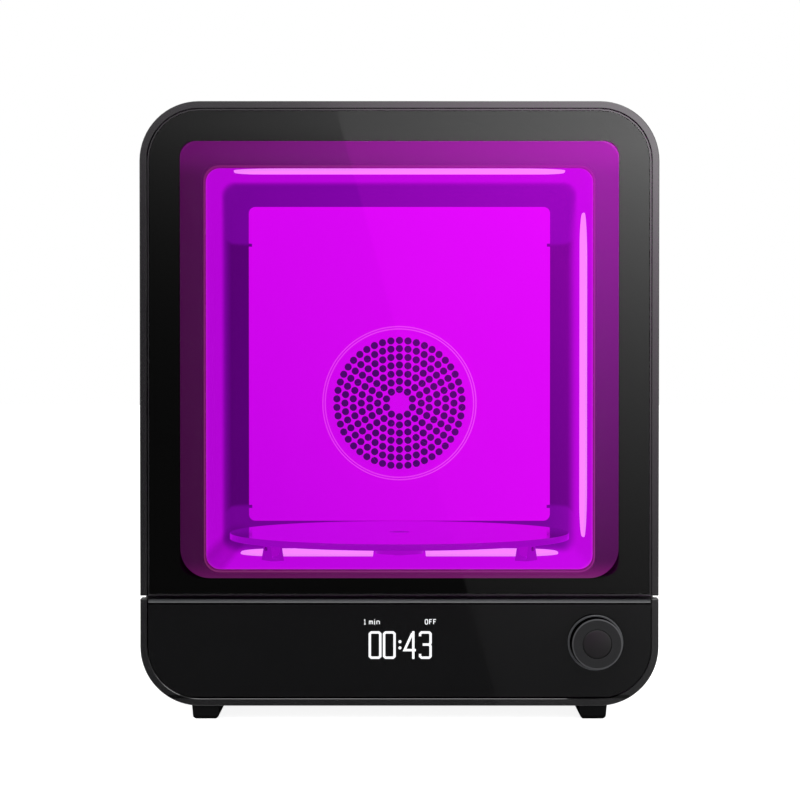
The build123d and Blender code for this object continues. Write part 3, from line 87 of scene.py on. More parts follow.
BLACK, WHITE = (0, 0, 0, 1), (1, 1, 1, 1)
print("front of the door at y", round(deep(0), 4), "and rear cover at y", round(deep(280), 4))

# %% [markdown]
# ## Small tools for shader nodes
#
# Every finish is a tree of nodes. Short helpers keep the trees readable: one adds a node and fills
# its inputs, some do arithmetic on sockets, and two start and place a reusable node group.

# %% Nodes and arithmetic
def is_socket(value):
    """Tells a socket from a plain value."""
    return isinstance(value, bpy.types.NodeSocket)


def fill(socket, value):
    """Links another socket into this one, or sets a plain value."""
    if is_socket(value):
        socket.id_data.links.new(value, socket)
    else:
        socket.default_value = value


def feed(sockets, **values):
    """Links or sets sockets by their names; underscores stand for spaces."""
    for name, value in values.items():
        fill(sockets[name.replace("_", " ")], value)


def put(tree, kind, inputs=None, **settings):
    """Adds a node with its input values and settings."""
    node = tree.nodes.new("ShaderNode" + kind)
    for name, value in settings.items():
        setattr(node, name, value)
    for name, value in (inputs or {}).items():
        fill(node.inputs[name], value)
    return node


def tree_of(values):
    """The tree that the first socket among some values belongs to."""
    return next(value.id_data for value in values if is_socket(value))


def maths(operation, *values, clamp=False):
    """One arithmetic node on up to three values or sockets."""
    node = put(tree_of(values), "Math", dict(enumerate(values)), operation=operation, use_clamp=clamp)
    return node.outputs[0]


def product(*values):
    """Multiplies any number of values or sockets."""
    return reduce(lambda a, b: maths("MULTIPLY", a, b), values)


def largest(*values):
    """The largest of any number of values or sockets."""
    return reduce(lambda a, b: maths("MAXIMUM", a, b), values)


def minus(first, second):
    """The first value or socket less the second."""
    return maths("SUBTRACT", first, second)


def ramp(value, low, high, start=0.0, end=1.0, smooth=True):
    """Follows a value from low to high and gives start to end, held flat outside."""
    kind = "SMOOTHSTEP" if smooth else "LINEAR"
    inputs = {"Value": value, "From Min": low, "From Max": high, "To Min": start, "To Max": end}
    return put(value.id_data, "MapRange", inputs, interpolation_type=kind, clamp=True).outputs[0]


def between(value, rise, fall):
    """A mask that is 1 between two ramps; each is given by its two ends."""
    return product(ramp(value, *rise), ramp(value, *fall))


def blend_colour(factor, first, second):
    """Mixes two colours by a factor."""
    node = put(factor.id_data, "Mix", data_type="RGBA")
    for index, value in ((0, factor), (6, first), (7, second)):
        fill(node.inputs[index], value)
    return node.outputs[2]


print("arithmetic on sockets ready")

# %% Places, directions and groups
def object_vector(tree):
    """The place on the object."""
    return put(tree, "TexCoord").outputs["Object"]


def object_place(tree):
    """The X, Y and Z of the place on the object."""
    return put(tree, "SeparateXYZ", {0: object_vector(tree)}).outputs


def facing(tree):
    """The X, Y and Z of the direction that the surface faces."""
    return put(tree, "SeparateXYZ", {0: put(tree, "NewGeometry").outputs["Normal"]}).outputs


def noise(tree, vector, scale, **values):
    """A cloudy noise on the object."""
    inputs = {"Vector": vector, "Scale": scale} | {name.capitalize(): value for name, value in values.items()}
    return put(tree, "TexNoise", inputs).outputs[0]


def new_group(name, inputs, outputs):
    """Starts a node group from (name, socket type, value) inputs and (name, socket type) outputs."""
    group = bpy.data.node_groups.new(name, "ShaderNodeTree")
    for label, kind, value in inputs:
        socket = group.interface.new_socket(name=label, in_out="INPUT", socket_type="NodeSocket" + kind)
        socket.default_value = value
    for label, kind in outputs:
        group.interface.new_socket(name=label, in_out="OUTPUT", socket_type="NodeSocket" + kind)
    return group, group.nodes.new("NodeGroupInput").outputs, group.nodes.new("NodeGroupOutput").inputs


def place_group(tree, group, **inputs):
    """Puts a group into a material; underscores in the names stand for spaces."""
    node = tree.nodes.new("ShaderNodeGroup")
    node.node_tree = group
    for name, value in inputs.items():
        fill(node.inputs[name.replace("_", " ").capitalize()], value)
    return node.outputs


print("places and groups ready")

# %% [markdown]
# ## Shared effects
#
# Moulded plastic has a fine grain, handled edges go paler, dust lies on what faces up, and metal
# sheet has drawn lines. Each effect is one node group that is used by many finishes, so a change
# in one place changes the whole object.

# %% Moulded grain
grain_group, taken, given = new_group(
    "Moulded grain",
    [("Size", "Float", 0.0006), ("Unevenness", "Float", 0.5)],
    [("Height", "Float"), ("Patches", "Float")],
)
tree = grain_group
place = object_vector(tree)
feed(given, Height=noise(tree, place, maths("DIVIDE", 1, taken["Size"]), detail=2.0))
broad = noise(tree, place, 23.0, detail=3.0, roughness=0.6)
spread = product(minus(broad, 0.5), taken["Unevenness"])
feed(given, Patches=maths("ADD", spread, 0.5, clamp=True))


def grain_texture(tree, size, unevenness):
    """The grain, placed in a finish."""
    return place_group(tree, grain_group, size=size, unevenness=unevenness)


print("group", grain_group.name)

# %% Worn edges
wear_group, taken, given = new_group(
    "Worn edges",
    [("Width", "Float", 0.0006), ("Amount", "Float", 0.6)],
    [("Mask", "Float")],
)
tree = wear_group
rounded = put(tree, "Bevel", {"Radius": taken["Width"]}, samples=4).outputs[0]
flat = put(tree, "NewGeometry").outputs["Normal"]
alike = put(tree, "VectorMath", {0: rounded, 1: flat}, operation="DOT_PRODUCT").outputs["Value"]
broken = ramp(noise(tree, object_vector(tree), 160.0, detail=4.0), 0.40, 0.62)
on_edge = product(ramp(alike, 0.995, 0.90), broken)
feed(given, Mask=maths("MULTIPLY", on_edge, taken["Amount"], clamp=True))
print("group", wear_group.name)

# %% Settled dust
dust_group, taken, given = new_group(
    "Settled dust",
    [("Amount", "Float", 0.3), ("Speck size", "Float", 0.004)],
    [("Mask", "Float")],
)
tree = dust_group
faces_up = ramp(facing(tree)["Z"], 0.55, 0.98)
specks = noise(tree, object_vector(tree), maths("DIVIDE", 1, taken["Speck size"]), detail=6.0, roughness=0.7)
cover = product(faces_up, ramp(specks, 0.42, 0.75))
feed(given, Mask=maths("MULTIPLY", cover, taken["Amount"], clamp=True))
print("group", dust_group.name)

# %% Drawn lines of sheet metal
lines_group, taken, given = new_group(
    "Drawn lines",
    [("Along", "Vector", (1, 60, 60)), ("Fineness", "Float", 60.0)],
    [("Height", "Float"), ("Streaks", "Float")],
)
tree = lines_group
place = object_vector(tree)
stretched = put(tree, "VectorMath", {0: place, 1: taken["Along"]}, operation="MULTIPLY").outputs[0]
band = noise(tree, stretched, product(taken["Fineness"], 0.15))
feed(given, Height=noise(tree, stretched, taken["Fineness"], detail=3.0, roughness=0.7))
feed(given, Streaks=ramp(band, 0.35, 0.65))
print("group", lines_group.name)

# %% [markdown]
# ## Light that depends on the place
#
# The chamber is lit by strong violet bars, and its painted sheet glows with scattered light.
# Tracing that light through a glass door would need thousands of samples. It is cheaper and
# steadier to let the sheet give off the light itself, with a colour that follows the place in the
# chamber: brighter to the right and towards the top, darker behind the baffle. One group blends
# four corner colours, and another measures the distance from a rounded rectangle.

# %% Corner glow
CHAMBER = {"half_width": 0.106, "low_z": 0.079, "high_z": 0.300}
glow_group, taken, given = new_group(
    "Corner glow",
    [("Top left", "Color", WHITE), ("Top right", "Color", WHITE),
     ("Low left", "Color", WHITE), ("Low right", "Color", WHITE),
     ("Half width", "Float", 0.1), ("Low z", "Float", 0.0), ("High z", "Float", 0.2)],
    [("Color", "Color")],
)
tree = glow_group
place = object_place(tree)
left_end = product(taken["Half width"], -1)
across = ramp(place["X"], left_end, taken["Half width"], smooth=False)
upwards = ramp(place["Z"], taken["Low z"], taken["High z"], smooth=False)
upper = blend_colour(across, taken["Top left"], taken["Top right"])
lower = blend_colour(across, taken["Low left"], taken["Low right"])
feed(given, Color=blend_colour(upwards, lower, upper))


def corner_light(tree, top_left, top_right, low_left, low_right, **room):
    """The corner glow, with colours given in a colour picker's numbers, over the chamber or a given room."""
    return place_group(tree, glow_group, top_left=tone(*top_left), top_right=tone(*top_right),
                       low_left=tone(*low_left), low_right=tone(*low_right), **(CHAMBER | room))["Color"]


print("group", glow_group.name)

# %% Distance from a rounded rectangle in the XZ plane
outline_group, taken, given = new_group(
    "Rounded outline",
    [("Half width", "Float", 0.1), ("Low z", "Float", 0.0), ("High z", "Float", 0.2),
     ("Radius", "Float", 0.01)],
    [("Distance", "Float")],
)
tree = outline_group
place = object_place(tree)
middle = product(maths("ADD", taken["Low z"], taken["High z"]), 0.5)
half_high = product(minus(taken["High z"], taken["Low z"]), 0.5)
out_x = minus(maths("ABSOLUTE", place["X"]), minus(taken["Half width"], taken["Radius"]))
from_middle = maths("ABSOLUTE", minus(place["Z"], middle))
out_z = minus(from_middle, minus(half_high, taken["Radius"]))
past_x, past_z = largest(out_x, 0), largest(out_z, 0)
squares = maths("ADD", product(past_x, past_x), product(past_z, past_z))
inside = maths("MINIMUM", largest(out_x, out_z), 0)
to_round = maths("ADD", maths("SQRT", squares), inside)
feed(given, Distance=minus(to_round, taken["Radius"]))
print("group", outline_group.name)

# %% [markdown]
# ## Finishes
#
# Each finish is a material with one Principled BSDF. A helper starts it, and values that are the
# same all over the surface are set straight on the shader.

# %% Start a finish, and give it to nodes
def shader_of(material):
    """The node tree of a finish and the sockets of its shader."""
    return material.node_tree, material.node_tree.nodes["Principled BSDF"].inputs


def start_finish(name, **values):
    """A material with a Principled BSDF and the values of its sockets."""
    material = bpy.data.materials.new(name)
    material.use_nodes = True
    tree, sockets = shader_of(material)
    feed(sockets, **values)
    return material, tree, sockets


def dress(material, *names):
    """Gives a finish to CAD nodes."""
    for name in names:
        nodes[name].data.materials.clear()
        nodes[name].data.materials.append(material)


def bump(sockets, height, distance):
    """Feeds a height through a Bump node into the shader's normal."""
    node = put(height.id_data, "Bump", {"Height": height, "Distance": distance, "Strength": 0.5})
    feed(sockets, Normal=node.outputs[0])


def grainy(tree, sockets, first, second, rough, size, unevenness, relief):
    """Grain in two colours, with its own range of roughness and its relief."""
    texture = grain_texture(tree, size, unevenness)
    feed(sockets, Base_Color=blend_colour(texture["Patches"], first, second))
    feed(sockets, Roughness=ramp(texture["Patches"], 0.2, 0.8, *rough))
    bump(sockets, texture["Height"], relief)


print("finish helpers ready")

# %% [markdown]
# ### Black plastic
#
# The shell, the door's frame and the base are moulded in black plastic with a fine satin grain.
# The finish mixes three things: a faint unevenness in the colour and gloss, pale worn edges, and
# a little dust on what faces up.

# %% Satin black
EDGE_GREY, DUST_GREY = tone(92, 92, 94), tone(150, 148, 144)
EDGE_WIDTH = mm(0.5)


def black_plastic(name, colour, gloss, grain=0.00045, relief=0.00003, wear=0.35, dust=0.0, edges=EDGE_GREY):
    """Moulded black plastic; gloss is the roughness in the middle of its range."""
    material, tree, sockets = start_finish(name, IOR=1.5)
    texture = grain_texture(tree, grain, 0.8)
    worn = place_group(tree, wear_group, width=EDGE_WIDTH, amount=wear)["Mask"]
    dusty = place_group(tree, dust_group, amount=dust)["Mask"]
    base = blend_colour(texture["Patches"], colour, scaled(colour, 1.35, 0.001))
    base = blend_colour(worn, base, edges)
    base = blend_colour(dusty, base, DUST_GREY)
    feed(sockets, Base_Color=base)
    rough = ramp(texture["Patches"], 0.2, 0.8, gloss - 0.05, gloss + 0.06)
    feed(sockets, Roughness=maths("ADD", rough, product(dusty, 0.3)))
    bump(sockets, texture["Height"], relief)
    return material


def overlay(material, mask_of, colour, rough, as_painted_shade=False):
    """Lays another colour and roughness over part of a finish. mask_of makes the mask in its tree.
    A part laid as painted shade is a black metal, which mirrors nothing."""
    tree, sockets = shader_of(material)
    mask = mask_of(tree)
    old_colour = sockets["Base Color"].links[0].from_socket
    old_rough = sockets["Roughness"].links[0].from_socket
    feed(sockets, Base_Color=blend_colour(mask, old_colour, colour))
    feed(sockets, Roughness=ramp(mask, 0, 1, old_rough, rough, smooth=False))
    if as_painted_shade:
        feed(sockets, Metallic=mask)


def band_painted_shade(tree):
    """Painted shade in the gap under the door, along the foot and on the band's inner edge on the left."""
    side, place = facing(tree), object_place(tree)
    under_door = product(ramp(side["Z"], 0.85, 0.95), ramp(place["Z"], 0.067, 0.066))
    left_inner = product(ramp(side["X"], 0.5, 0.65), ramp(place["X"], -0.13, -0.131))
    foot_line = between(place["Z"], (0.0113, 0.0116), (0.0135, 0.0130))
    return largest(under_door, left_inner, foot_line)


shell_black = black_plastic("shell_black", tone(28, 28, 29), 0.42, dust=0.12)
inner_black = black_plastic("inner_black", tone(24, 24, 25), 0.55, wear=0.1)
foot_black = black_plastic("foot_black", tone(13, 13, 14), 0.7, grain=0.0007, wear=0.1)
feed(shader_of(foot_black)[1], Specular_IOR_Level=0.05)
dress(shell_black, "top_shell", "base_tub", "rear_cover")
dress(inner_black, "rocker_housing", "mains_inlet", "cooling_fan_frame", "cooling_fan_rotor",
      "interlock_switch")
dress(foot_black, "feet")
print("black plastics:", [m.name for m in (shell_black, inner_black, foot_black)])

# %% [markdown]
# The band round the door and the base is the same plastic, polished. Only what faces the front has
# the full gloss, which a coat gives. In its gaps and on its left inner edge, shade is painted as
# thin black lines that mirror nothing.

# %% Polished band
band_black = black_plastic("band_black", tone(30, 30, 31), 0.14, relief=0.000004, wear=0.1)
# Painted shade: the gaps and the band's left inner edge are laid black, mirroring nothing
overlay(band_black, band_painted_shade, BLACK, 0.5, as_painted_shade=True)
tree, sockets = shader_of(band_black)
feed(sockets, Coat_Weight=ramp(facing(tree)["Y"], -0.93, -0.98, 0.1, 1.0))
feed(sockets, Coat_IOR=1.88, Coat_Roughness=0.08)
dress(band_black, "door_frame", "base_bezel")
print("band:", band_black.name)

# %% [markdown]
# ### Metals
#
# The deck, the supply's case and the strike plates are zinc-plated sheet, shafts and pins are
# bright steel, and the heat sinks are aluminium. Rolled and drawn metal has fine lines along one
# way. One function covers them all, because only colour, gloss and the way of the lines differ.

# %% Sheet, steel and aluminium
def plated_steel(name, colour, rough=0.35, along=(60, 1, 60)):
    """Bare or zinc-plated metal with drawn lines and slight stains."""
    material, tree, sockets = start_finish(name, Metallic=1.0)
    lines = place_group(tree, lines_group, along=along, fineness=90.0)
    stains = grain_texture(tree, 0.003, 1.2)["Patches"]
    darker = scaled(colour, 0.72)
    base = blend_colour(lines["Streaks"], colour, darker)
    base = blend_colour(ramp(stains, 0.55, 0.9, 0, 0.5), base, darker)
    feed(sockets, Base_Color=base)
    feed(sockets, Roughness=ramp(lines["Height"], 0.3, 0.7, rough - 0.08, rough + 0.1))
    bump(sockets, lines["Height"], 0.00002)
    return material


zinc = plated_steel("zinc_plate", tone(176, 178, 182))
steel = plated_steel("bright_steel", tone(196, 196, 200), 0.25)
motor_steel = plated_steel("motor_steel", tone(150, 152, 156), 0.45, along=(1, 60, 60))
sink_metal = plated_steel("sink_aluminium", tone(188, 190, 194), 0.4)
dress(zinc, "deck_plate", "power_supply", "baffle_spacers", "strike_plates")
dress(steel, "fan_shaft", "roller_axles", "hinge_pins", "encoder_shaft", "hinge_brackets", "door_magnets")
dress(motor_steel, "fan_motor", "turntable_motor")
dress(sink_metal, "top_heat_sink", "side_heat_sinks")
print("metals:", [m.name for m in (zinc, steel, motor_steel, sink_metal)])

# %% [markdown]
# ### The glass door
#
# The door's front is one flat pane. Its border is printed black from behind, and a clear window is
# left in the middle. Printed glass mirrors the studio more strongly than the clear window seems
# to, so the pane's coat follows a mask that is 1 on the border and 0 in the window.

# %% Glass and its printed border
WINDOW = {"half_width": 0.1185, "low_z": 0.0762, "high_z": 0.3123, "radius": 0.012}
glass, tree, sockets = start_finish(
    "door_glass", IOR=1.45, Roughness=0.0, Transmission_Weight=1.0, Specular_IOR_Level=0.06,
    Coat_IOR=1.5, Coat_Roughness=0.02, Base_Color=(0.99, 0.985, 0.99, 1),
)
to_window = place_group(tree, outline_group, **WINDOW)["Distance"]
feed(sockets, Coat_Weight=ramp(to_window, -0.0006, 0.0006))
mask_black, tree, sockets = start_finish("printed_black", Roughness=0.5, Specular_IOR_Level=0.1)
cloudy = grain_texture(tree, 0.0012, 1.0)["Patches"]
feed(sockets, Base_Color=blend_colour(cloudy, tone(7, 7, 8), tone(11, 10, 12)))
dress(glass, "door_glass")
dress(mask_black, "glass_mask")
print("glass:", glass.name, "and its border:", mask_black.name)

# %% [markdown]
# ### Rubber
#
# The soles of the feet and the door's seal are soft rubber. It hardly mirrors anything, so it is
# rough all over, and a grain in two close colours keeps it from looking like flat paint.

# %% Soles and seal
def rubber(name, colour):
    """Matt rubber with chalky patches."""
    material, tree, sockets = start_finish(name, Specular_IOR_Level=0.05)
    grainy(tree, sockets, colour, scaled(colour, 1.8, 0.004), (0.75, 0.9), 0.0009, 1.4, 0.00006)
    return material


sole_rubber = rubber("sole_rubber", tone(4, 4, 4))
seal_rubber = rubber("seal_rubber", tone(40, 12, 38))
dress(sole_rubber, "foot_pads")
dress(seal_rubber, "door_seal")
print("rubbers:", sole_rubber.name, seal_rubber.name)

# %% [markdown]
# ### The control strip
#
# The strip under the door is a smooth, nearly glossy black panel with a chamfered upper edge. The
# push-turn knob is satin charcoal with a shallow dish, and a slim ring lies round it.

# %% Panel
panel_black, tree, sockets = start_finish("panel_black", IOR=1.7)
grainy(tree, sockets, tone(14, 14, 15), tone(19, 19, 20), (0.05, 0.08), 0.0004, 0.6, 0.000002)


def chamfer_highlight(tree):
    """A mask of the panel's upper edge, where a pale colour paints the highlight that its chamfer catches."""
    return between(object_place(tree)["Z"], (0.0630, 0.0633), (0.0650, 0.0646))


def shadow_lines(tree):
    """A mask of the thin lines of painted shadow under that edge and along the panel's foot."""
    height = object_place(tree)["Z"]
    under = between(height, (0.0620, 0.0623), (0.0631, 0.0629))
    return largest(under, ramp(height, 0.0124, 0.0121))


# Painted highlight along the chamfered upper edge
overlay(panel_black, chamfer_highlight, tone(68, 70, 72), 0.45)
# Painted shadow: black that mirrors nothing in these lines
overlay(panel_black, shadow_lines, BLACK, 0.5, as_painted_shade=True)
dress(panel_black, "control_panel")
print("panel:", panel_black.name)

# %% Knob and ring
def turned_plastic(name, colour, gloss, wear=0.1):
    """Black plastic with a very fine grain."""
    return black_plastic(name, colour, gloss, grain=0.0003, relief=0.00001, wear=wear)


def knob_edge_highlight(tree):
    """A mask of what doesn't face the front, given a pale painted highlight."""
    return ramp(facing(tree)["Y"], -0.97, -0.85)


def knob_side_shade(tree):
    """A mask of the knob's side, behind its rounded front edge, painted near black as shade."""
    return ramp(object_place(tree)["Y"], deep(-12.4), deep(-11.9))


knob_grey = turned_plastic("knob_grey", tone(42, 42, 43), 0.38, wear=0.2)
# The knob mirrors nothing: its rounded edge gets a painted highlight and its side painted shade
feed(shader_of(knob_grey)[1], Specular_IOR_Level=0.0)
overlay(knob_grey, knob_edge_highlight, tone(84, 84, 86), 0.4)
overlay(knob_grey, knob_side_shade, tone(1, 1, 1), 0.85)
cap_grey = turned_plastic("cap_grey", tone(26, 25, 26), 0.34)
ring_metal = turned_plastic("ring_metal", tone(68, 70, 72), 0.4)
dress(knob_grey, "knob")
dress(cap_grey, "knob_cap")
dress(ring_metal, "knob_ring")
print("knob finishes:", knob_grey.name, cap_grey.name, ring_metal.name)

# %% [markdown]
# ### The lit chamber
#
# The liner is violet-lit sheet. Near the door it is bright, and towards the back it falls off in
# the rounded corners. Beside the perforated plate are the dark slots that the warm air leaves by.
# The light falls off along a bell curve, slowest on the right wall. The parts that stand in the
# same light get their own corner colours through one function.

# %% Fall-off of the liner's light
NEAR_FLOOR, NEAR_CEILING = (0.0845, 0.0795), (0.255, 0.300)   # Z from the walls to the floor and the ceiling
NEAR_RIGHT_WALL = (0.070, 0.106)
USUAL_REACH, RIGHT_REACH, CEILING_REACH, FLOOR_REACH = 0.041, 0.098, 0.034, 0.056
SLOT_BOTTOM, SLOT_TOP = (0.100, 0.103), (0.269, 0.266)
FALL_STARTS = deep(132)


def fading(place):
    """How much of the light near the door is left: 1 in front, and 0 far behind."""
    reach = ramp(place["X"], *NEAR_RIGHT_WALL, USUAL_REACH, RIGHT_REACH, smooth=False)
    reach = ramp(place["Z"], *NEAR_CEILING, reach, CEILING_REACH, smooth=False)
    reach = ramp(place["Z"], *NEAR_FLOOR, reach, FLOOR_REACH, smooth=False)
    behind = largest(minus(place["Y"], FALL_STARTS), 0)
    steps = maths("POWER", maths("DIVIDE", product(behind, 1.3), reach), 2)
    return maths("EXPONENT", product(steps, -1))


def slot_shade(place):
    """The shade of the slots beside the plate and of the wall next to them."""
    in_slot = between(place["Z"], SLOT_BOTTOM, SLOT_TOP)
    beside = product(ramp(maths("ABSOLUTE", place["X"]), 0.090, 0.096),
                     ramp(place["Y"], deep(155), deep(240)))
    lost = minus(1, ramp(place["X"], -0.1, 0.1, 0.48, 0.60, smooth=False))
    return minus(1, product(in_slot, beside, lost))


def floor_light(place):
    """Painted light and shade: the floor glows brighter, and painted shade darkens its left corner."""
    corner = product(ramp(place["X"], -0.094, -0.100), ramp(place["Z"], 0.092, 0.084))
    return minus(ramp(place["Z"], *NEAR_FLOOR, 1.0, 1.13), product(corner, 0.3))


print("the light fades behind y", round(FALL_STARTS, 4))

# %% Liner
liner_lit, tree, sockets = start_finish("liner_lit", Emission_Strength=1.0, Specular_IOR_Level=0.0)
place = object_place(tree)
near = corner_light(tree, (184, 5, 217), (189, 6, 225), (180, 5, 213), (189, 8, 222))
far = corner_light(tree, (110, 4, 148), (130, 4, 176), (111, 4, 144), (110, 8, 148))
light = blend_colour(fading(place), far, near)
for shade in (slot_shade(place), floor_light(place)):
    light = put(tree, "VectorMath", {0: light, "Scale": shade}, operation="SCALE").outputs[0]
# Painted highlight: the glow is brighter and paler at the front edge
at_mouth = ramp(place["Y"], deep(38), deep(27))
brighter = put(tree, "VectorMath", {0: light, 1: (1.13, 6.0, 1.0)}, operation="MULTIPLY").outputs[0]
feed(sockets, Emission_Color=blend_colour(at_mouth, light, brighter))
# The liner's base colour is tinted violet by its light, painted in
grainy(tree, sockets, tone(54, 8, 64), tone(64, 10, 76), (0.38, 0.5), 0.0008, 0.7, 0.00002)
dress(liner_lit, "chamber_liner", "left_light_bar")
print("liner lit")

# %% Lit parts inside the chamber
# The lit parts' base colour is tinted violet by the chamber's light, painted in
VIOLET_LIGHT_TINT = tone(60, 9, 72)


def lit_part(name, *corners, base=VIOLET_LIGHT_TINT, rough=0.45):
    """A part in the violet light; the four colours are what it gives off at the chamber's corners."""
    material, tree, sockets = start_finish(name, Emission_Strength=1.0, Specular_IOR_Level=0.04)
    feed(sockets, Emission_Color=corner_light(tree, *corners))
    grainy(tree, sockets, base, scaled(base, 0.85), (rough - 0.05, rough + 0.05), 0.0007, 0.7, 0.00001)
    return material


baffle_lit = lit_part("baffle_lit", (219, 4, 246), (227, 6, 252), (198, 3, 230), (223, 6, 249), rough=0.4)
fan_lit = lit_part("fan_lit", (60, 8, 92), (70, 9, 104), (52, 7, 84), (66, 9, 98), base=tone(60, 30, 70))
bracket_lit = lit_part("bracket_lit", (150, 5, 184), (168, 8, 200), (150, 5, 184), (160, 8, 194))
hub_lit = lit_part("hub_lit", (150, 5, 184), (168, 8, 200), (160, 5, 192), (172, 8, 204))
dress(baffle_lit, "baffle_plate")
dress(fan_lit, "impeller", "heater_ring")
dress(bracket_lit, "roller_brackets")
dress(hub_lit, "drive_hub", "roller_left", "roller_right", "roller_rear")
print("lit parts:", baffle_lit.name, fan_lit.name, bracket_lit.name, hub_lit.name)

# %% [markdown]
# The turntable is polished. It mirrors the bright plate behind it, and the dark slots show in it
# as two dark patches, so its top gets a metallic finish with little light of its own.

# %% Turntable
table_metal, tree, sockets = start_finish("table_metal", Emission_Strength=1.0, Specular_IOR_Level=0.04)
on_top = ramp(facing(tree)["Z"], 0.90, 0.97)
feed(sockets, Metallic=on_top)
texture = place_group(tree, lines_group, along=(30, 30, 1), fineness=40.0)
# The polished top's colour is tinted violet by the chamber's light, painted in
polished = blend_colour(texture["Streaks"], (0.57, 0.44, 0.65, 1), (0.52, 0.38, 0.60, 1))
feed(sockets, Base_Color=blend_colour(on_top, VIOLET_LIGHT_TINT, polished))
feed(sockets, Roughness=ramp(texture["Height"], 0.3, 0.7, 0.06, 0.12))
# Painted light: the top glows brighter on the left and fades to the right, and the rim glows violet
top_light = corner_light(tree, (70, 2, 92), (8, 1, 12), (70, 2, 92), (8, 1, 12))
rim_light = corner_light(tree, (150, 5, 187), (156, 6, 193), (150, 5, 187), (154, 6, 191))
feed(sockets, Emission_Color=blend_colour(on_top, rim_light, top_light))
dress(table_metal, "turntable")
print("turntable polished")

# %% [markdown]
# The light bars are milky covers over rows of lamps, so an even pale violet is enough for them.
# The far rim of the ceiling's and the wall's cover lets no lamp light out; it is given a violet
# glow as painted light.

# %% Light bars
bar_light, tree, sockets = start_finish("diffuser_lit", Emission_Strength=1.0, Roughness=0.3)
place = object_place(tree)
on_ceiling = ramp(place["Z"], 0.289, 0.290)
far_rim = ramp(on_ceiling, 0, 1, deep(106), deep(62.5), smooth=False)
past_rim = ramp(minus(place["Y"], far_rim), -0.001, 0.001)
lit = largest(minus(1, past_rim), ramp(place["Z"], 0.090, 0.088))
milky = grain_texture(tree, 0.004, 0.5)["Patches"]
light = blend_colour(milky, tone(243, 131, 248), tone(250, 144, 255))
# The unlit rim glows violet as painted light
feed(sockets, Emission_Color=blend_colour(lit, tone(180, 6, 210), light))
feed(sockets, Base_Color=blend_colour(milky, tone(60, 40, 62), tone(70, 48, 72)))
dress(bar_light, "top_light_bar", "right_light_bar", "floor_light_bars")
print("light bars on; the left one stays off")

# %% [markdown]
# ### The violet-lit border
#
# Between the window's edge and the chamber's mouth lies the door's inner frame. It is dark satin that
# looks plum from the violet light painted into it, brighter at the top right and in its top and bottom
# strips. The steel round the mouth is nearly black, and only its folded edge gets painted violet light.

# %% Inner frame and the front plate behind it
BORDER_HALF = 0.115


def trim_light(tree):
    """The light on the trim round the chamber's mouth, with brighter top and bottom strips."""
    sides = corner_light(tree, (69, 14, 68), (125, 36, 141), (60, 12, 57), (68, 20, 69),
                         half_width=BORDER_HALF)
    strips = corner_light(tree, (93, 19, 94), (144, 40, 156), (90, 17, 80), (120, 30, 106),
                          half_width=BORDER_HALF, low_z=0.070, high_z=0.310)
    height = object_place(tree)["Z"]
    on_strip = maths("ADD", ramp(height, 0.292, 0.308), ramp(height, 0.086, 0.074))
    return blend_colour(on_strip, sides, strips)


# The trim is dark satin; its plum look is painted violet light
trim_lit, tree, sockets = start_finish("inner_trim", Emission_Strength=1.0, Specular_IOR_Level=0.1)
feed(sockets, Emission_Color=trim_light(tree))
grainy(tree, sockets, tone(10, 3, 10), tone(14, 5, 14), (0.45, 0.6), 0.0006, 0.7, 0.00002)
front_plate = black_plastic("frame_black", tone(26, 20, 27), 0.5, wear=0.2)
tree, sockets = shader_of(front_plate)
from_mouth = place_group(tree, outline_group, **CHAMBER, radius=0.008)["Distance"]
edge_light = corner_light(tree, (120, 10, 108), (146, 16, 150), (104, 3, 89), (116, 14, 106),
                          half_width=BORDER_HALF)
feed(sockets, Emission_Color=blend_colour(ramp(from_mouth, 0.0016, 0.0006), BLACK, edge_light))
feed(sockets, Emission_Strength=1.0)
dress(trim_lit, "door_inner_frame")
dress(front_plate, "front_frame")
print("border in", trim_lit.name, "and", front_plate.name)

# %% [markdown]
# ### Boards and inner plastics
#
# The boards are seen only when the housing is open, so a brick pattern stands in for their copper
# tracks. A clear coat gives the gloss of the lacquer.

# %% Circuit boards and inner plastics
def board_finish(name, colour, copper):
    """Lacquered board: broad tracks under the lacquer, and a glossy coat."""
    material, tree, sockets = start_finish(name, Roughness=0.35, Coat_Weight=0.3, Coat_Roughness=0.1)
    bricks = {"Vector": object_vector(tree), "Scale": 55.0, "Mortar Size": 0.06, "Brick Width": 1.7,
              "Row Height": 0.6}
    tracks = put(tree, "TexBrick", bricks).outputs["Fac"]
    lacquer = grain_texture(tree, 0.002, 1.0)["Patches"]
    ground = blend_colour(lacquer, scaled(colour, 0.7), colour)
    feed(sockets, Base_Color=blend_colour(product(tracks, 0.7), ground, copper))
    return material


board_green = board_finish("board_green", tone(24, 78, 48), tone(60, 118, 74))
board_white = board_finish("board_white", tone(214, 214, 208), tone(196, 190, 176))
module_black = black_plastic("inner_plastic", tone(32, 32, 34), 0.5, wear=0.15)
pin_plastic = black_plastic("roller_plastic", tone(196, 192, 198), 0.45, wear=0.1,
                            edges=tone(226, 224, 228))
dress(board_green, "control_board", "main_board")
dress(board_white, "top_led_board", "side_led_boards", "floor_led_boards")
dress(module_black, "display_module", "encoder_body", "rocker")
dress(pin_plastic, "interlock_plunger", "encoder_plunger")
bare = [name for name, piece in nodes.items() if not any(m and m.use_nodes for m in piece.data.materials)]
print("nodes without a finish:", bare)

# %% [markdown]
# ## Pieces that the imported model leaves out
#
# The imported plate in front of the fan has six-sided holes to stay light. Here a finer plate takes
# its place. A flat sheet with many holes is easiest to make from its outlines: a constrained
# triangulation fills the sheet and skips the holes, and a thickness is added to it.

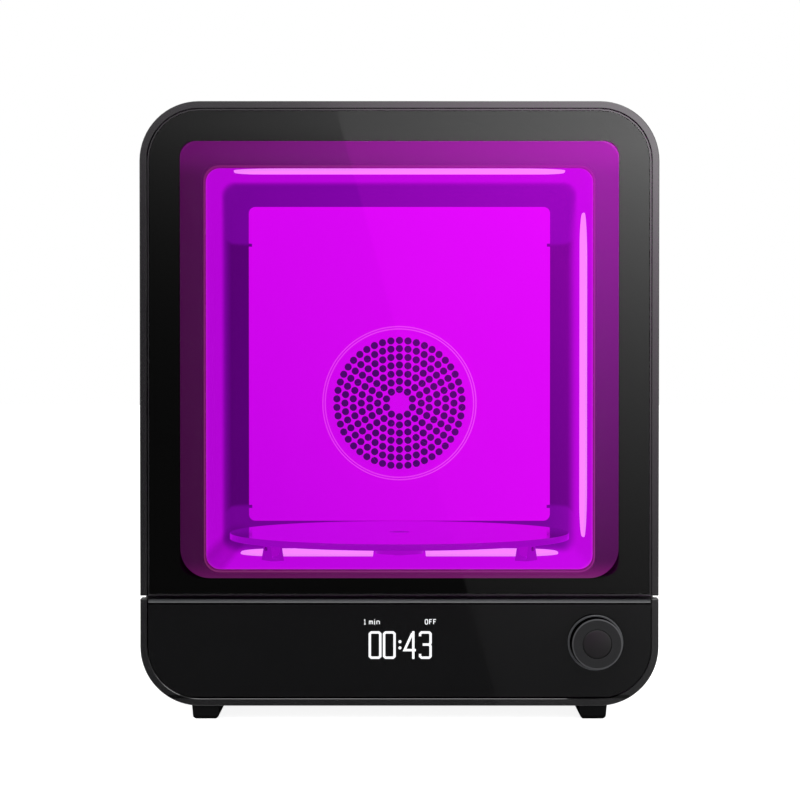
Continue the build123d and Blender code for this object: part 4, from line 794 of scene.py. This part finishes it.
# %% Meshes from points
def piece_from(name, mesh):
    """Puts a bmesh into the scene as a new object."""
    data = bpy.data.meshes.new(name)
    mesh.to_mesh(data)
    mesh.free()
    piece = bpy.data.objects.new(name, data)
    bpy.context.scene.collection.objects.link(piece)
    return piece


def solid_from(name, mesh):
    """Puts a bmesh into the scene with all its faces turned outwards."""
    bmesh.ops.recalc_face_normals(mesh, faces=mesh.faces)
    return piece_from(name, mesh)


def bridge(mesh, loops):
    """Joins each closed loop of points to the next one with faces."""
    for near, far in zip(loops, loops[1:]):
        for n in range(len(near)):
            m = (n + 1) % len(near)
            mesh.faces.new((near[n], near[m], far[m], far[n]))


def ring_points(x, z, radius, count, start=0.0):
    """Points evenly round a circle."""
    return [(x + radius * cos(start + 2 * pi * n / count), z + radius * sin(start + 2 * pi * n / count))
            for n in range(count)]


def rounded_rectangle(x, z, half_wide, half_high, radius, steps=6):
    """Points round a rectangle with rounded corners, anticlockwise from the upper right."""
    points = []
    for sign_x, sign_z, first in ((1, 1, 0), (-1, 1, 90), (-1, -1, 180), (1, -1, 270)):
        for step in range(steps + 1):
            angle = radians(first + 90 * step / steps)
            points.append((x + sign_x * (half_wide - radius) + radius * cos(angle),
                           z + sign_z * (half_high - radius) + radius * sin(angle)))
    return points


print("mesh tools ready")

# %% Sheet from outlines
def filled(loops):
    """Triangulates the first loop and leaves the others open: the points and the faces."""
    points = [Vector(p) for loop in loops for p in loop]
    ends = [sum(len(loop) for loop in loops[:n]) for n in range(len(loops) + 1)]
    ids = [list(range(start, end)) for start, end in zip(ends, ends[1:])]
    verts, _, faces, _, _, origins = delaunay_2d_cdt(points, [], ids, 1, 1e-7)
    return verts, [face for face, origin in zip(faces, origins) if not any(index > 0 for index in origin)]


def round_key(point):
    """A point as whole micrometres, to find it again."""
    return tuple(round(c * 1e6) for c in point)


def sheet_with_holes(name, outline, holes, thickness, place):
    """A flat piece from 2-D loops. place turns (u, v, depth) into a 3-D point."""
    verts, faces = filled([outline] + holes)
    mesh = bmesh.new()
    for depth in (0, thickness):
        layer = [mesh.verts.new(place(v.x, v.y, depth)) for v in verts]
        for face in faces:
            corners = [layer[i] for i in face]
            mesh.faces.new(corners if depth == 0 else corners[::-1])
    bmesh.ops.delete(mesh, geom=[v for v in mesh.verts if not v.link_faces], context="VERTS")
    known = {round_key(v.co): v for v in mesh.verts}
    across = place(0, 0, thickness) - place(0, 0, 0)
    for edge in [e for e in mesh.edges if e.is_boundary]:
        a, b = edge.verts
        far_a, far_b = known.get(round_key(a.co + across)), known.get(round_key(b.co + across))
        if far_a and far_b:
            mesh.faces.new((a, b, far_b, far_a))
    return solid_from(name, mesh)


print("sheet tools ready")

# %% Perforated plate in front of the fan
plate_low, plate_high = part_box("baffle_plate")
half_wide, plate_mid = (plate_high.x - plate_low.x) / 2, (plate_high.z + plate_low.z) / 2
half_high = (plate_high.z - plate_low.z) / 2
fan_z, plate_front = 0.1668, deep(232)
PLATE_THICK, PLATE_CORNER, NOTCH = mm(1.2), mm(4), mm(2)
ROWS, FIRST_ROW, ROW_STEP, HOLE_RADIUS = 7, mm(8.6), mm(5.17), mm(2.3)
HOLES_IN_FIRST, MORE_IN_NEXT = 10, 6


def notch_points(side, z, way):
    """Four points of a square notch in a side edge; way is 1 on the way up and -1 on the way down."""
    outer, inner = side * half_wide, side * (half_wide - NOTCH)
    first, last = z - way * NOTCH / 2, z + way * NOTCH / 2
    return [(outer, first), (inner, first), (inner, last), (outer, last)]


def on_plate(u, v, depth):
    """A 3-D point from a place on the plate and a depth behind its front."""
    return Vector((u, plate_front + depth, v))


corners = rounded_rectangle(0, plate_mid, half_wide, half_high, PLATE_CORNER)
notches = [mm(101.5), mm(266.5)]
left_edge = [p for z in reversed(notches) for p in notch_points(-1, z, -1)]
right_edge = [p for z in notches for p in notch_points(1, z, 1)]
middle = len(corners) // 2
outline = corners[:middle] + left_edge + corners[middle:] + right_edge
holes = []
for row in range(ROWS):
    count = HOLES_IN_FIRST + MORE_IN_NEXT * row
    for x, z in ring_points(0, fan_z, FIRST_ROW + ROW_STEP * row, count, pi / 2):
        holes.append(ring_points(x, z, HOLE_RADIUS, 16))
plate = sheet_with_holes("fan_plate", outline, holes, PLATE_THICK, on_plate)
print("plate with", len(holes), "round holes:", len(plate.data.polygons), "faces")

# %% Folded edges and the pressed rings of the plate
def sweep_ring(mesh, profile, centre, count=96):
    """Turns a profile of (radius, y) points round an axis that runs from front to back."""
    loops = []
    for n in range(count):
        angle = 2 * pi * n / count
        loops.append([mesh.verts.new((centre[0] + r * cos(angle), y, centre[1] + r * sin(angle)))
                      for r, y in profile])
    for n in range(count):
        a, b = loops[n], loops[(n + 1) % count]
        for i in range(len(profile) - 1):
            mesh.faces.new((a[i], b[i], b[i + 1], a[i + 1]))


RIDGE_WIDE, RIDGE_HIGH, RIDGE_STEPS = 0.7, mm(0.5), (0, 0.25, 0.5, 0.75, 1)
mesh = bmesh.new()
for outer in (48.7, 47.2):
    ridge = [(mm(outer - RIDGE_WIDE * t), plate_front - RIDGE_HIGH * sin(pi * t)) for t in RIDGE_STEPS]
    sweep_ring(mesh, ridge, (0, fan_z))
fold_end, half_thick = half_wide - PLATE_CORNER, PLATE_THICK / 2
fold_near, fold_far = plate_front + mm(1), plate_front + mm(9.2)
fold_plan = [(-fold_end, fold_near), (fold_end, fold_near), (fold_end, fold_far), (-fold_end, fold_far)]
for sign in (-1, 1):
    edge_z = plate_mid + sign * (half_high - half_thick)
    fold = [mesh.verts.new((x, y, edge_z + dz)) for dz in (-half_thick, half_thick) for x, y in fold_plan]
    for corners in ((0, 1, 2, 3), (7, 6, 5, 4), (0, 4, 5, 1), (1, 5, 6, 2), (2, 6, 7, 3), (3, 7, 4, 0)):
        mesh.faces.new([fold[i] for i in corners])
plate_folds = solid_from("fan_plate_folds", mesh)
for face in plate_folds.data.polygons:
    face.use_smooth = abs(face.normal.z) < 0.999
ring_lit = lit_part("ring_lit", (234, 56, 248), (244, 80, 255), (226, 46, 240), (240, 70, 252), rough=0.35)
plate.data.materials.append(baffle_lit)
plate_folds.data.materials.append(ring_lit)
for piece in (plate, plate_folds):
    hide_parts("baffle_plate")
    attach(piece, "cabinet")
print("plate folds:", len(plate_folds.data.polygons), "faces")

# %% [markdown]
# ### Thin rims
#
# A narrow black gasket fills the chamfer round the glass pane, a thin bead lines the inner edge of
# the violet-lit border, and the steel round the chamber's mouth has a folded edge. Each is one profile
# carried round a rounded rectangle.

# %% Rims of the pane and the border
def rim(name, body, half_wide, low, high, radius, floor, profile, material):
    """A closed profile of (inset, depth) points carried round a rounded rectangle cut off at a floor."""
    mesh = bmesh.new()
    loops = []
    for inset, depth in profile:
        half_high = (high - low) / 2 - inset
        outline = rounded_rectangle(0, mm((low + high) / 2), mm(half_wide - inset), mm(half_high),
                                    mm(radius - inset), 8)
        loops.append([mesh.verts.new((x, deep(depth), max(z, mm(floor + inset)))) for x, z in outline])
    bridge(mesh, loops + loops[:1])
    piece = solid_from(name, mesh)
    piece.data.materials.append(material)
    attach(piece, body)
    return piece


bead_lit = lit_part("bead_lit", (126, 40, 106), (150, 42, 150), (126, 48, 104), (148, 48, 134),
                    base=tone(10, 3, 10))
tree, sockets = shader_of(bead_lit)
lip_light = sockets["Emission Color"].links[0].from_socket
on_lip = ramp(object_place(tree)["Y"], deep(14.5), deep(14.2))
feed(sockets, Emission_Color=blend_colour(on_lip, trim_light(tree), lip_light))
gasket = rim("glass_gasket", "door", 135.7, 0, 329.2, 27.7, 67.2,
             [(0, 0.25), (0.7, 0.25), (0.7, 0.48), (0, 1.18)], band_black)
bead = rim("mouth_bead", "door", 107.05, 77.95, 300.45, 9.05, 77,
           [(-0.7, 15), (-0.7, 14.6), (0.5, 14.6), (0.55, 14.1), (1.15, 14.1), (1.2, 14.6), (1.2, 15)],
           bead_lit)
mouth_edge = rim("mouth_edge", "cabinet", 106.3, 79.1, 299.4, 8.3, 77,
                 [(-1, 19.4), (-1, 18.9), (0.65, 18.9), (0.65, 19.4)], front_plate)
print("rims:", [(piece.name, len(piece.data.polygons)) for piece in (gasket, bead, mouth_edge)])

# %% [markdown]
# ### Cap and ring of the knob
#
# The knob's cap is a very shallow dome, and the ring round the knob slopes away on its outer side.
# Both are turned round the knob's axis.

# %% Turned cap and ring
def turned(name, node, body, centre, profile, material):
    """A profile of (radius, depth) points turned round the knob's axis, in place of a CAD node."""
    mesh = bmesh.new()
    sweep_ring(mesh, [(mm(radius), deep(depth)) for radius, depth in profile], centre)
    bmesh.ops.remove_doubles(mesh, verts=mesh.verts, dist=1e-7)
    piece = solid_from(name, mesh)
    piece.data.materials.append(material)
    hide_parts(node)
    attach(piece, body)
    return piece


CAP_RADIUS, CAP_FRONT, CAP_BACK, DOME_HEIGHT = 8, -13, -11.5, 0.4
dial_low, dial_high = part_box("knob_cap")
dial_centre = ((dial_low.x + dial_high.x) / 2, (dial_low.z + dial_high.z) / 2)
ring_centre = (dial_centre[0], dial_centre[1] - mm(0.65))
dome = [(n, CAP_FRONT + DOME_HEIGHT * (n / CAP_RADIUS) ** 2) for n in range(CAP_RADIUS + 1)]
cap = turned("dial_cap", "knob_cap", "dial", dial_centre,
             dome + [(CAP_RADIUS, CAP_BACK), (0, CAP_BACK)], cap_grey)
for face in cap.data.polygons:
    face.use_smooth = face.normal.y < -0.5
sloped = [(13.9, 0.4), (14.0, 0.05), (14.7, 0.05), (15.0, 0.4), (15.0, 0.9), (13.9, 0.9), (13.9, 0.4)]
dial_ring = turned("dial_ring", "knob_ring", "cabinet", ring_centre, sloped, ring_metal)
print("cap and ring:", len(cap.data.polygons), "and", len(dial_ring.data.polygons), "faces")

# %% [markdown]
# ### The read-out
#
# The display shows white strokes on black. Each figure is a chain of straight strokes with cut
# corners. One function turns a chain of points into a flat ribbon with mitred corners, and all the
# ribbons of one line of text become one thin piece on the panel's face.

# %% Strokes
PANEL_FACE, STROKE_HEIGHT = deep(0.4), mm(0.06)


def ribbon(mesh, points, width, closed=False):
    """A flat band along 2-D points (x, z) on the panel's face, with mitred corners."""
    count = len(points)
    sides = []
    for i, point in enumerate(points):
        point = Vector(point)
        ways = []
        if closed or i:
            ways.append((point - Vector(points[i - 1])).normalized())
        if closed or i < count - 1:
            ways.append((Vector(points[(i + 1) % count]) - point).normalized())
        along = sum(ways, Vector((0, 0))).normalized()
        normal = Vector((-along.y, along.x))
        stretch = 1 / max(0.5, normal.dot(Vector((-ways[0].y, ways[0].x))))
        offset = normal * width / 2 * stretch
        sides.append((point + offset, point - offset))
    lifts = (STROKE_HEIGHT, -STROKE_HEIGHT)
    rows = [[mesh.verts.new((p.x, PANEL_FACE - lift, p.y)) for p in pair for lift in lifts] for pair in sides]
    for i in range(count if closed else count - 1):
        a, b = rows[i], rows[(i + 1) % count]
        for j, k in ((0, 2), (2, 3), (3, 1), (1, 0)):
            mesh.faces.new((a[j], b[j], b[k], a[k]))
    if not closed:
        for row in (rows[0], rows[-1]):
            mesh.faces.new((row[0], row[2], row[3], row[1]))


def figure(mesh, chains, left, low, width, height, stroke):
    """Draws chains given in a 0 to 1 box; a chain that ends where it starts is closed."""
    for chain in chains:
        closed = chain[0] == chain[-1]
        corners = chain[:-1] if closed else chain
        points = [(mm(left + stroke / 2 + u * (width - stroke)), mm(low + stroke / 2 + v * (height - stroke)))
                  for u, v in corners]
        ribbon(mesh, points, mm(stroke), closed)


print("strokes lie on the panel at y", round(PANEL_FACE, 5))

# %% Large figures
FIGURE_LOW, FIGURE_HIGH, FIGURE_WIDE, FIGURE_STROKE = 32.75, 47.7, 6.95, 1.3
cut, flat = 0.14, 0.055
middle, edge = 0.52, 0.58
zero = [[(cut, 0), (1 - cut, 0), (1, flat), (1, 1 - flat), (1 - cut, 1), (cut, 1), (0, 1 - flat),
         (0, flat), (cut, 0)]]
four = [[(0.84, -0.05), (0.84, 1.05)], [(0.74, 0.97), (0, 0.30), (1.08, 0.30)]]
three = [[(0, 0.85), (0, 1 - flat), (cut, 1), (1 - cut, 1), (1, 1 - flat), (1, edge), (1 - cut, middle),
          (0.25, middle)],
         [(1 - cut, middle), (1, 2 * middle - edge), (1, flat), (1 - cut, 0), (cut, 0), (0, flat), (0, 0.15)]]
mesh = bmesh.new()
for chains, left in ((zero, -16.65), (zero, -8.95), (four, 2.1), (three, 10.5)):
    figure(mesh, chains, left, FIGURE_LOW, FIGURE_WIDE, FIGURE_HIGH - FIGURE_LOW, FIGURE_STROKE)
for z in (38.7, 42.05):
    dot = ring_points(mm(0.27), mm(z), mm(0.85), 16)
    mesh.faces.new([mesh.verts.new((u, PANEL_FACE - STROKE_HEIGHT, v)) for u, v in dot])
timer_figures = piece_from("timer_figures", mesh)
print("figures:", len(timer_figures.data.polygons), "faces")

# %% Small words of the read-out
WORD_LOW, WORD_HEIGHT, WORD_STROKE = 51.35, 2.9, 0.4
letters = {
    "1": [[(0.1, 0.8), (0.5, 1), (0.5, 0)], [(0, 0), (1, 0)]],
    "m": [[(0, 0), (0, 0.7)], [(0, 0.68), (0.36, 0.68), (0.5, 0.5), (0.5, 0)],
          [(0.5, 0.55), (0.6, 0.68), (0.86, 0.68), (1, 0.5), (1, 0)]],
    "i": [[(0.1, 0.68), (0.6, 0.68), (0.6, 0)], [(0, 0), (1.1, 0)], [(0.5, 0.92), (0.6, 1.02)]],
    "n": [[(0, 0), (0, 0.7)], [(0, 0.68), (0.75, 0.68), (1, 0.5), (1, 0)]],
    "O": [[(0.25, 0), (0.75, 0), (1, 0.2), (1, 0.8), (0.75, 1), (0.25, 1), (0, 0.8), (0, 0.2), (0.25, 0)]],
    "F": [[(0, 0), (0, 1), (1, 1)], [(0, 0.54), (0.8, 0.54)]],
}
mesh = bmesh.new()
spaced = (("1", -19.3, 1.3), ("m", -16.5, 2.2), ("i", -13.9, 0.9), ("n", -12.4, 1.8),
          ("O", 13.7, 1.8), ("F", 16.05, 1.7), ("F", 18.25, 1.7))
for letter, left, width in spaced:
    figure(mesh, letters[letter], left, WORD_LOW, width, WORD_HEIGHT, WORD_STROKE)
small_words = piece_from("small_words", mesh)
print("words:", len(small_words.data.polygons), "faces")

# %% Light of the read-out
readout_white, tree, sockets = start_finish("readout_white", Emission_Strength=1.0, Roughness=0.5)
texture = grain_texture(tree, 0.0003, 0.4)["Patches"]
feed(sockets, Emission_Color=blend_colour(texture, tone(236, 238, 240), tone(246, 247, 248)))
feed(sockets, Base_Color=blend_colour(texture, tone(120, 120, 122), tone(128, 128, 130)))
for piece in (timer_figures, small_words):
    piece.data.materials.append(readout_white)
    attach(piece, "cabinet")
print("read-out rides on the cabinet")

# %% [markdown]
# ### Screws and pins at the back
#
# Six cross-head screws hold the rear cover. A screw head is a turned dome with a cross pressed
# into it, so the dome is made as a flat sheet with a cross-shaped hole, its middle raised, and a
# deeper floor closes the cross.

# %% Cross-head screws
COVER_FACE, HEAD_SIDES = deep(280), 32
CROSS_REACH, CROSS_HALF, CROSS_FLOOR, CROSS_TAPER = mm(1.45), mm(0.32), deep(278.9), 0.7


def cross_loop(x, z, reach, half):
    """The outline of a cross."""
    steps = [(half, half), (half, reach), (-half, reach), (-half, half), (-reach, half), (-reach, -half),
             (-half, -half), (-half, -reach), (half, -reach), (half, -half), (reach, -half), (reach, half)]
    return [(x + u, z + v) for u, v in steps]


def screw(name, x, z):
    """A countersunk cross-head screw seen from behind, flush with the rear cover."""
    mesh = bmesh.new()
    rings = [(3.0, 278.3), (3.0, 279.4), (2.85, 279.75), (2.3, 279.95), (1.75, 280.0)]
    loops = [[mesh.verts.new((u, deep(depth), v)) for u, v in ring_points(x, z, mm(radius), HEAD_SIDES)]
             for radius, depth in rings]
    bridge(mesh, loops)
    mesh.faces.new(loops[0][::-1])
    cross = cross_loop(x, z, CROSS_REACH, CROSS_HALF)
    verts, faces = filled([[(v.co.x, v.co.z) for v in loops[-1]], cross])
    top = [mesh.verts.new((v.x, COVER_FACE, v.y)) for v in verts]
    for face in faces:
        mesh.faces.new([top[i] for i in face])
    upper = [mesh.verts.new((u, COVER_FACE, v)) for u, v in cross]
    lower = [mesh.verts.new((x + (u - x) * CROSS_TAPER, CROSS_FLOOR, z + (v - z) * CROSS_TAPER))
             for u, v in cross]
    bridge(mesh, [upper, lower])
    mesh.faces.new(lower)
    bmesh.ops.remove_doubles(mesh, verts=mesh.verts, dist=1e-7)
    return solid_from(name, mesh)


screw_black = plated_steel("screw_black", tone(70, 70, 72), 0.4)
screw_places = [(side * x, z) for side in (-1, 1) for x, z in ((126.4, 21.0), (133.7, 199.7), (126.4, 319.9))]
for number, (x, z) in enumerate(screw_places):
    head = screw(f"rear_screw_{number + 1}", mm(x), mm(z))
    head.data.materials.append(screw_black)
    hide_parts("cover_screws")
    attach(head, "cabinet")
print(len(screw_places), "screws in the rear cover")

# %% Pins of the mains inlet
INLET_X, INLET_Z, PIN_HALF_WIDE, PIN_HALF_HIGH = -95.0, 36.0, 1.06, 2.06
brass = plated_steel("inlet_brass", tone(200, 176, 120), 0.3)
mesh = bmesh.new()
for dx, dz in ((-7, -2), (0, 3), (7, -2)):
    loops = []
    for scale, depth in ((1.0, 265.2), (1.0, 275.9), (0.72, 277.2)):
        section = rounded_rectangle(mm(INLET_X + dx), mm(INLET_Z + dz), mm(PIN_HALF_WIDE * scale),
                                    mm(PIN_HALF_HIGH * scale), mm(0.3), 2)
        loops.append([mesh.verts.new((u, deep(depth), v)) for u, v in section])
    bridge(mesh, loops)
    mesh.faces.new(loops[-1])
    mesh.faces.new(loops[0][::-1])
inlet_pins = solid_from("inlet_pins", mesh)
inlet_pins.data.materials.append(brass)
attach(inlet_pins, "cabinet")
print("inlet pins:", len(inlet_pins.data.polygons), "faces")

# %% [markdown]
# ## Soft edges
#
# Moulded and machined edges are never perfectly sharp. A weld joins the imported faces, and a
# small bevel rounds what is left sharp, so that the edges catch the light.

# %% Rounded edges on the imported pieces
SAME_POINT, SHARP_ANGLE = 0.000002, radians(35)


def soften(name, width):
    """Adds a weld and a small bevel, with its width in millimetres, to a CAD node."""
    piece = nodes[name]
    piece.modifiers.new("weld", "WELD").merge_threshold = SAME_POINT
    edge = piece.modifiers.new("edge", "BEVEL")
    edge.width, edge.segments, edge.limit_method = mm(width), 2, "ANGLE"
    edge.angle_limit = SHARP_ANGLE
    edge.harden_normals = True
    edge.use_clamp_overlap = True


soft_nodes = {
    "top_shell": 0.4, "control_panel": 0.25, "foot_pads": 0.3, "feet": 0.3, "rocker": 0.3,
    "roller_brackets": 0.25, "front_frame": 0.3, "door_inner_frame": 0.3, "turntable": 0.25,
    "hinge_brackets": 0.3, "mains_inlet": 0.2,
}
for name, width in soft_nodes.items():
    soften(name, width)
print("edges softened on", len(soft_nodes), "nodes")

# %% [markdown]
# ## Studio
#
# The object stands on a pale floor in soft light, in front of white. A black object shows little
# more than what it mirrors. In front stands a wide dark card whose right part glows softly behind
# a slanted edge. The camera doesn't see the card, but the glass door mirrors it as a faint
# slanted sheen.

# %% Floor and surroundings
FLOOR_HALF, FLOOR_GLOW = 9, 0.9
LIGHT_LEVEL, SEEN_WHITE = 0.7, 1.0
floor_white, tree, sockets = start_finish(
    "floor_white", Roughness=0.9, Specular_IOR_Level=0.0,
    Base_Color=(0.86, 0.86, 0.86, 1), Emission_Color=WHITE,
)
path = put(tree, "LightPath").outputs
seen = largest(path["Is Camera Ray"], path["Is Transmission Ray"])
feed(sockets, Emission_Strength=product(seen, FLOOR_GLOW))


def stage_card(name, low, high, material):
    """A flat card of the studio between two opposite corners, upright or lying."""
    (x0, y0, z0), (x1, y1, z1) = low, high
    corners = [low, (x1, y0, z0), high, (x0, y1, z1)]
    data = bpy.data.meshes.new(name)
    data.from_pydata(corners, [], [(0, 1, 2, 3)])
    card = bpy.data.objects.new(name, data)
    card.data.materials.append(material)
    bpy.context.scene.collection.objects.link(card)
    return card


stage_card("studio_floor", (-FLOOR_HALF, -FLOOR_HALF, 0), (FLOOR_HALF, FLOOR_HALF, 0), floor_white)
world = bpy.data.worlds.new("studio")
bpy.context.scene.world = world
world.use_nodes = True
tree = world.node_tree
tree.nodes.clear()
path = put(tree, "LightPath").outputs
shown = largest(path["Is Camera Ray"], path["Is Glossy Ray"], path["Is Transmission Ray"])
brightness = ramp(shown, 0, 1, LIGHT_LEVEL, SEEN_WHITE, smooth=False)
background = put(tree, "Background", {"Color": WHITE, "Strength": brightness})
tree.links.new(background.outputs[0], put(tree, "OutputWorld").inputs[0])
print("white floor and surroundings")

# %% [markdown]
# The sheen is described once, by the place on the glass where it is seen. It grows to the right and
# upwards on both sides of a slanted edge, and it turns violet inside the window.

# %% The slanted sheen
PANE_LEFT, PANE_RIGHT, PANE_TOP = -0.2, 0.17, 0.35
EDGE_TOP, EDGE_X, EDGE_LEAN = 0.329, -0.034, 0.271
FAINT, GAIN, VIOLET = 0.0022, 16.5, (1.6, 0.02, 1.45, 1)
WINDOW_MIDDLE, ROUNDING_X, ROUNDING_Z = 0.19425, 0.1108, 0.1103
sheen_group, taken, given = new_group(
    "Slanted sheen",
    [("Glass x", "Float", 0.0), ("Glass z", "Float", 0.2)],
    [("Strength", "Float"), ("Color", "Color")],
)
tree = sheen_group
glass_x = largest(maths("MINIMUM", taken["Glass x"], PANE_RIGHT), PANE_LEFT)
glass_z = maths("MINIMUM", taken["Glass z"], PANE_TOP)
from_left = minus(glass_x, EDGE_X)


def glow_slope(most, sideways, upwards, top):
    """A glow that grows to the right and upwards, as far as the top."""
    from_top = minus(maths("MINIMUM", taken["Glass z"], top), 0.321)
    slope = maths("ADD", product(from_left, sideways), product(from_top, upwards))
    return product(maths("EXPONENT", slope), most)


slant = product(minus(EDGE_TOP, glass_z), EDGE_LEAN)
past_edge = ramp(minus(from_left, slant), -0.0008, 0.0008)
left_part = product(minus(1, past_edge), glow_slope(0.033, 8.7, 24.8, 0.321))
right_part = product(past_edge, glow_slope(0.0507, 5.1, 10.8, 0.309))
mirrored = maths("ADD", maths("ADD", left_part, right_part), FAINT)
feed(given, Strength=product(mirrored, GAIN))
# Inside the window the mirrored card is violet: a painted violet reflection over the chamber
out_x = minus(maths("ABSOLUTE", taken["Glass x"]), ROUNDING_X)
out_z = minus(maths("ABSOLUTE", minus(taken["Glass z"], WINDOW_MIDDLE)), ROUNDING_Z)
corner = put(tree, "CombineXYZ", {"X": largest(out_x, 0), "Z": largest(out_z, 0)}).outputs[0]
length = put(tree, "VectorMath", {0: corner}, operation="LENGTH").outputs["Value"]
outside = ramp(length, 0.0073, 0.0077)
feed(given, Color=blend_colour(outside, VIOLET, WHITE))
print("group", sheen_group.name)

# %% Card and cloth in front of the object
CAMERA_PLACE = Vector((0, -1.4855, 0.195))
CARD_Y, CARD_LEFT, CARD_RIGHT, CARD_TOP = -2.0, -1.5, 0.5, 0.62
CLOTH_RIGHT, CLOTH_END, JUST_UP = 0.6, -0.15, 0.002
GLASS_Y = deep(0.2)
to_camera = GLASS_Y - CAMERA_PLACE.y
spread_at_card = (to_camera + GLASS_Y - CARD_Y) / to_camera


def sheen_look(name, glass_place):
    """A glowing material; glass_place gives where on the glass each of its points is mirrored."""
    material = bpy.data.materials.new(name)
    material.use_nodes = True
    tree = material.node_tree
    tree.nodes.clear()
    across, up = glass_place(object_place(tree))
    sheen = place_group(tree, sheen_group, glass_x=across, glass_z=up)
    glow = put(tree, "Emission", {"Color": sheen["Color"], "Strength": sheen["Strength"]})
    tree.links.new(glow.outputs[0], put(tree, "OutputMaterial").inputs[0])
    return material


def seen_on_card(place):
    """The card stands upright, so both places shrink by one factor."""
    low = minus(place["Z"], CAMERA_PLACE.z)
    return (maths("DIVIDE", place["X"], spread_at_card),
            maths("ADD", maths("DIVIDE", low, spread_at_card), CAMERA_PLACE.z))


def seen_on_cloth(place):
    """The cloth lies on the floor, so the factor grows with the distance from the glass."""
    spread = maths("DIVIDE", minus(GLASS_Y + to_camera, place["Y"]), to_camera)
    drop = maths("DIVIDE", CAMERA_PLACE.z, spread)
    return maths("DIVIDE", place["X"], spread), minus(CAMERA_PLACE.z, drop)


card = stage_card("front_card", (CARD_LEFT, CARD_Y, JUST_UP), (CARD_RIGHT, CARD_Y, CARD_TOP),
                  sheen_look("card_glow", seen_on_card))
cloth = stage_card("front_cloth", (CARD_LEFT, CARD_Y, JUST_UP), (CLOTH_RIGHT, CLOTH_END, JUST_UP),
                   sheen_look("cloth_glow", seen_on_cloth))
for hidden in (card, cloth):
    hidden.visible_camera = False
    hidden.visible_diffuse = False
    hidden.visible_shadow = False
print("card and cloth at", round(spread_at_card, 3), "times the glass")

# %% [markdown]
# ### Lamps and camera
#
# Two large soft boxes light the object, one above it and a weaker one on its right, so that the
# shadows stay soft. The camera stands well in front with a long lens, tipped slightly down, which
# keeps the front almost free of perspective.

# %% Soft lamps
def soft_lamp(name, place, aim, size, power):
    """A square soft box aimed at a point."""
    light = bpy.data.lights.new(name, "AREA")
    light.shape, light.size, light.energy = "SQUARE", size, power
    lamp = bpy.data.objects.new(name, light)
    lamp.location = place
    lamp.rotation_euler = (Vector(aim) - Vector(place)).to_track_quat("-Z", "Y").to_euler()
    lamp.visible_camera = False
    bpy.context.scene.collection.objects.link(lamp)


OBJECT_MIDDLE = (0, 0, 0.2)
soft_lamp("top_box", (0.35, -0.35, 1.3), OBJECT_MIDDLE, 1.0, 9)
soft_lamp("right_box", (1.5, -0.6, 0.7), OBJECT_MIDDLE, 0.9, 6)
print("lamps on")

# %% Camera
camera = bpy.data.objects.new("camera", bpy.data.cameras.new("camera"))
camera.location = CAMERA_PLACE
camera.rotation_euler = (radians(89.05), 0, 0)
camera.data.lens, camera.data.sensor_width = 112.7, 36
camera.data.shift_x = 0.0007
bpy.context.scene.collection.objects.link(camera)
bpy.context.scene.camera = camera
bpy.context.scene.view_settings.view_transform = "Standard"
print("camera at", tuple(camera.location))
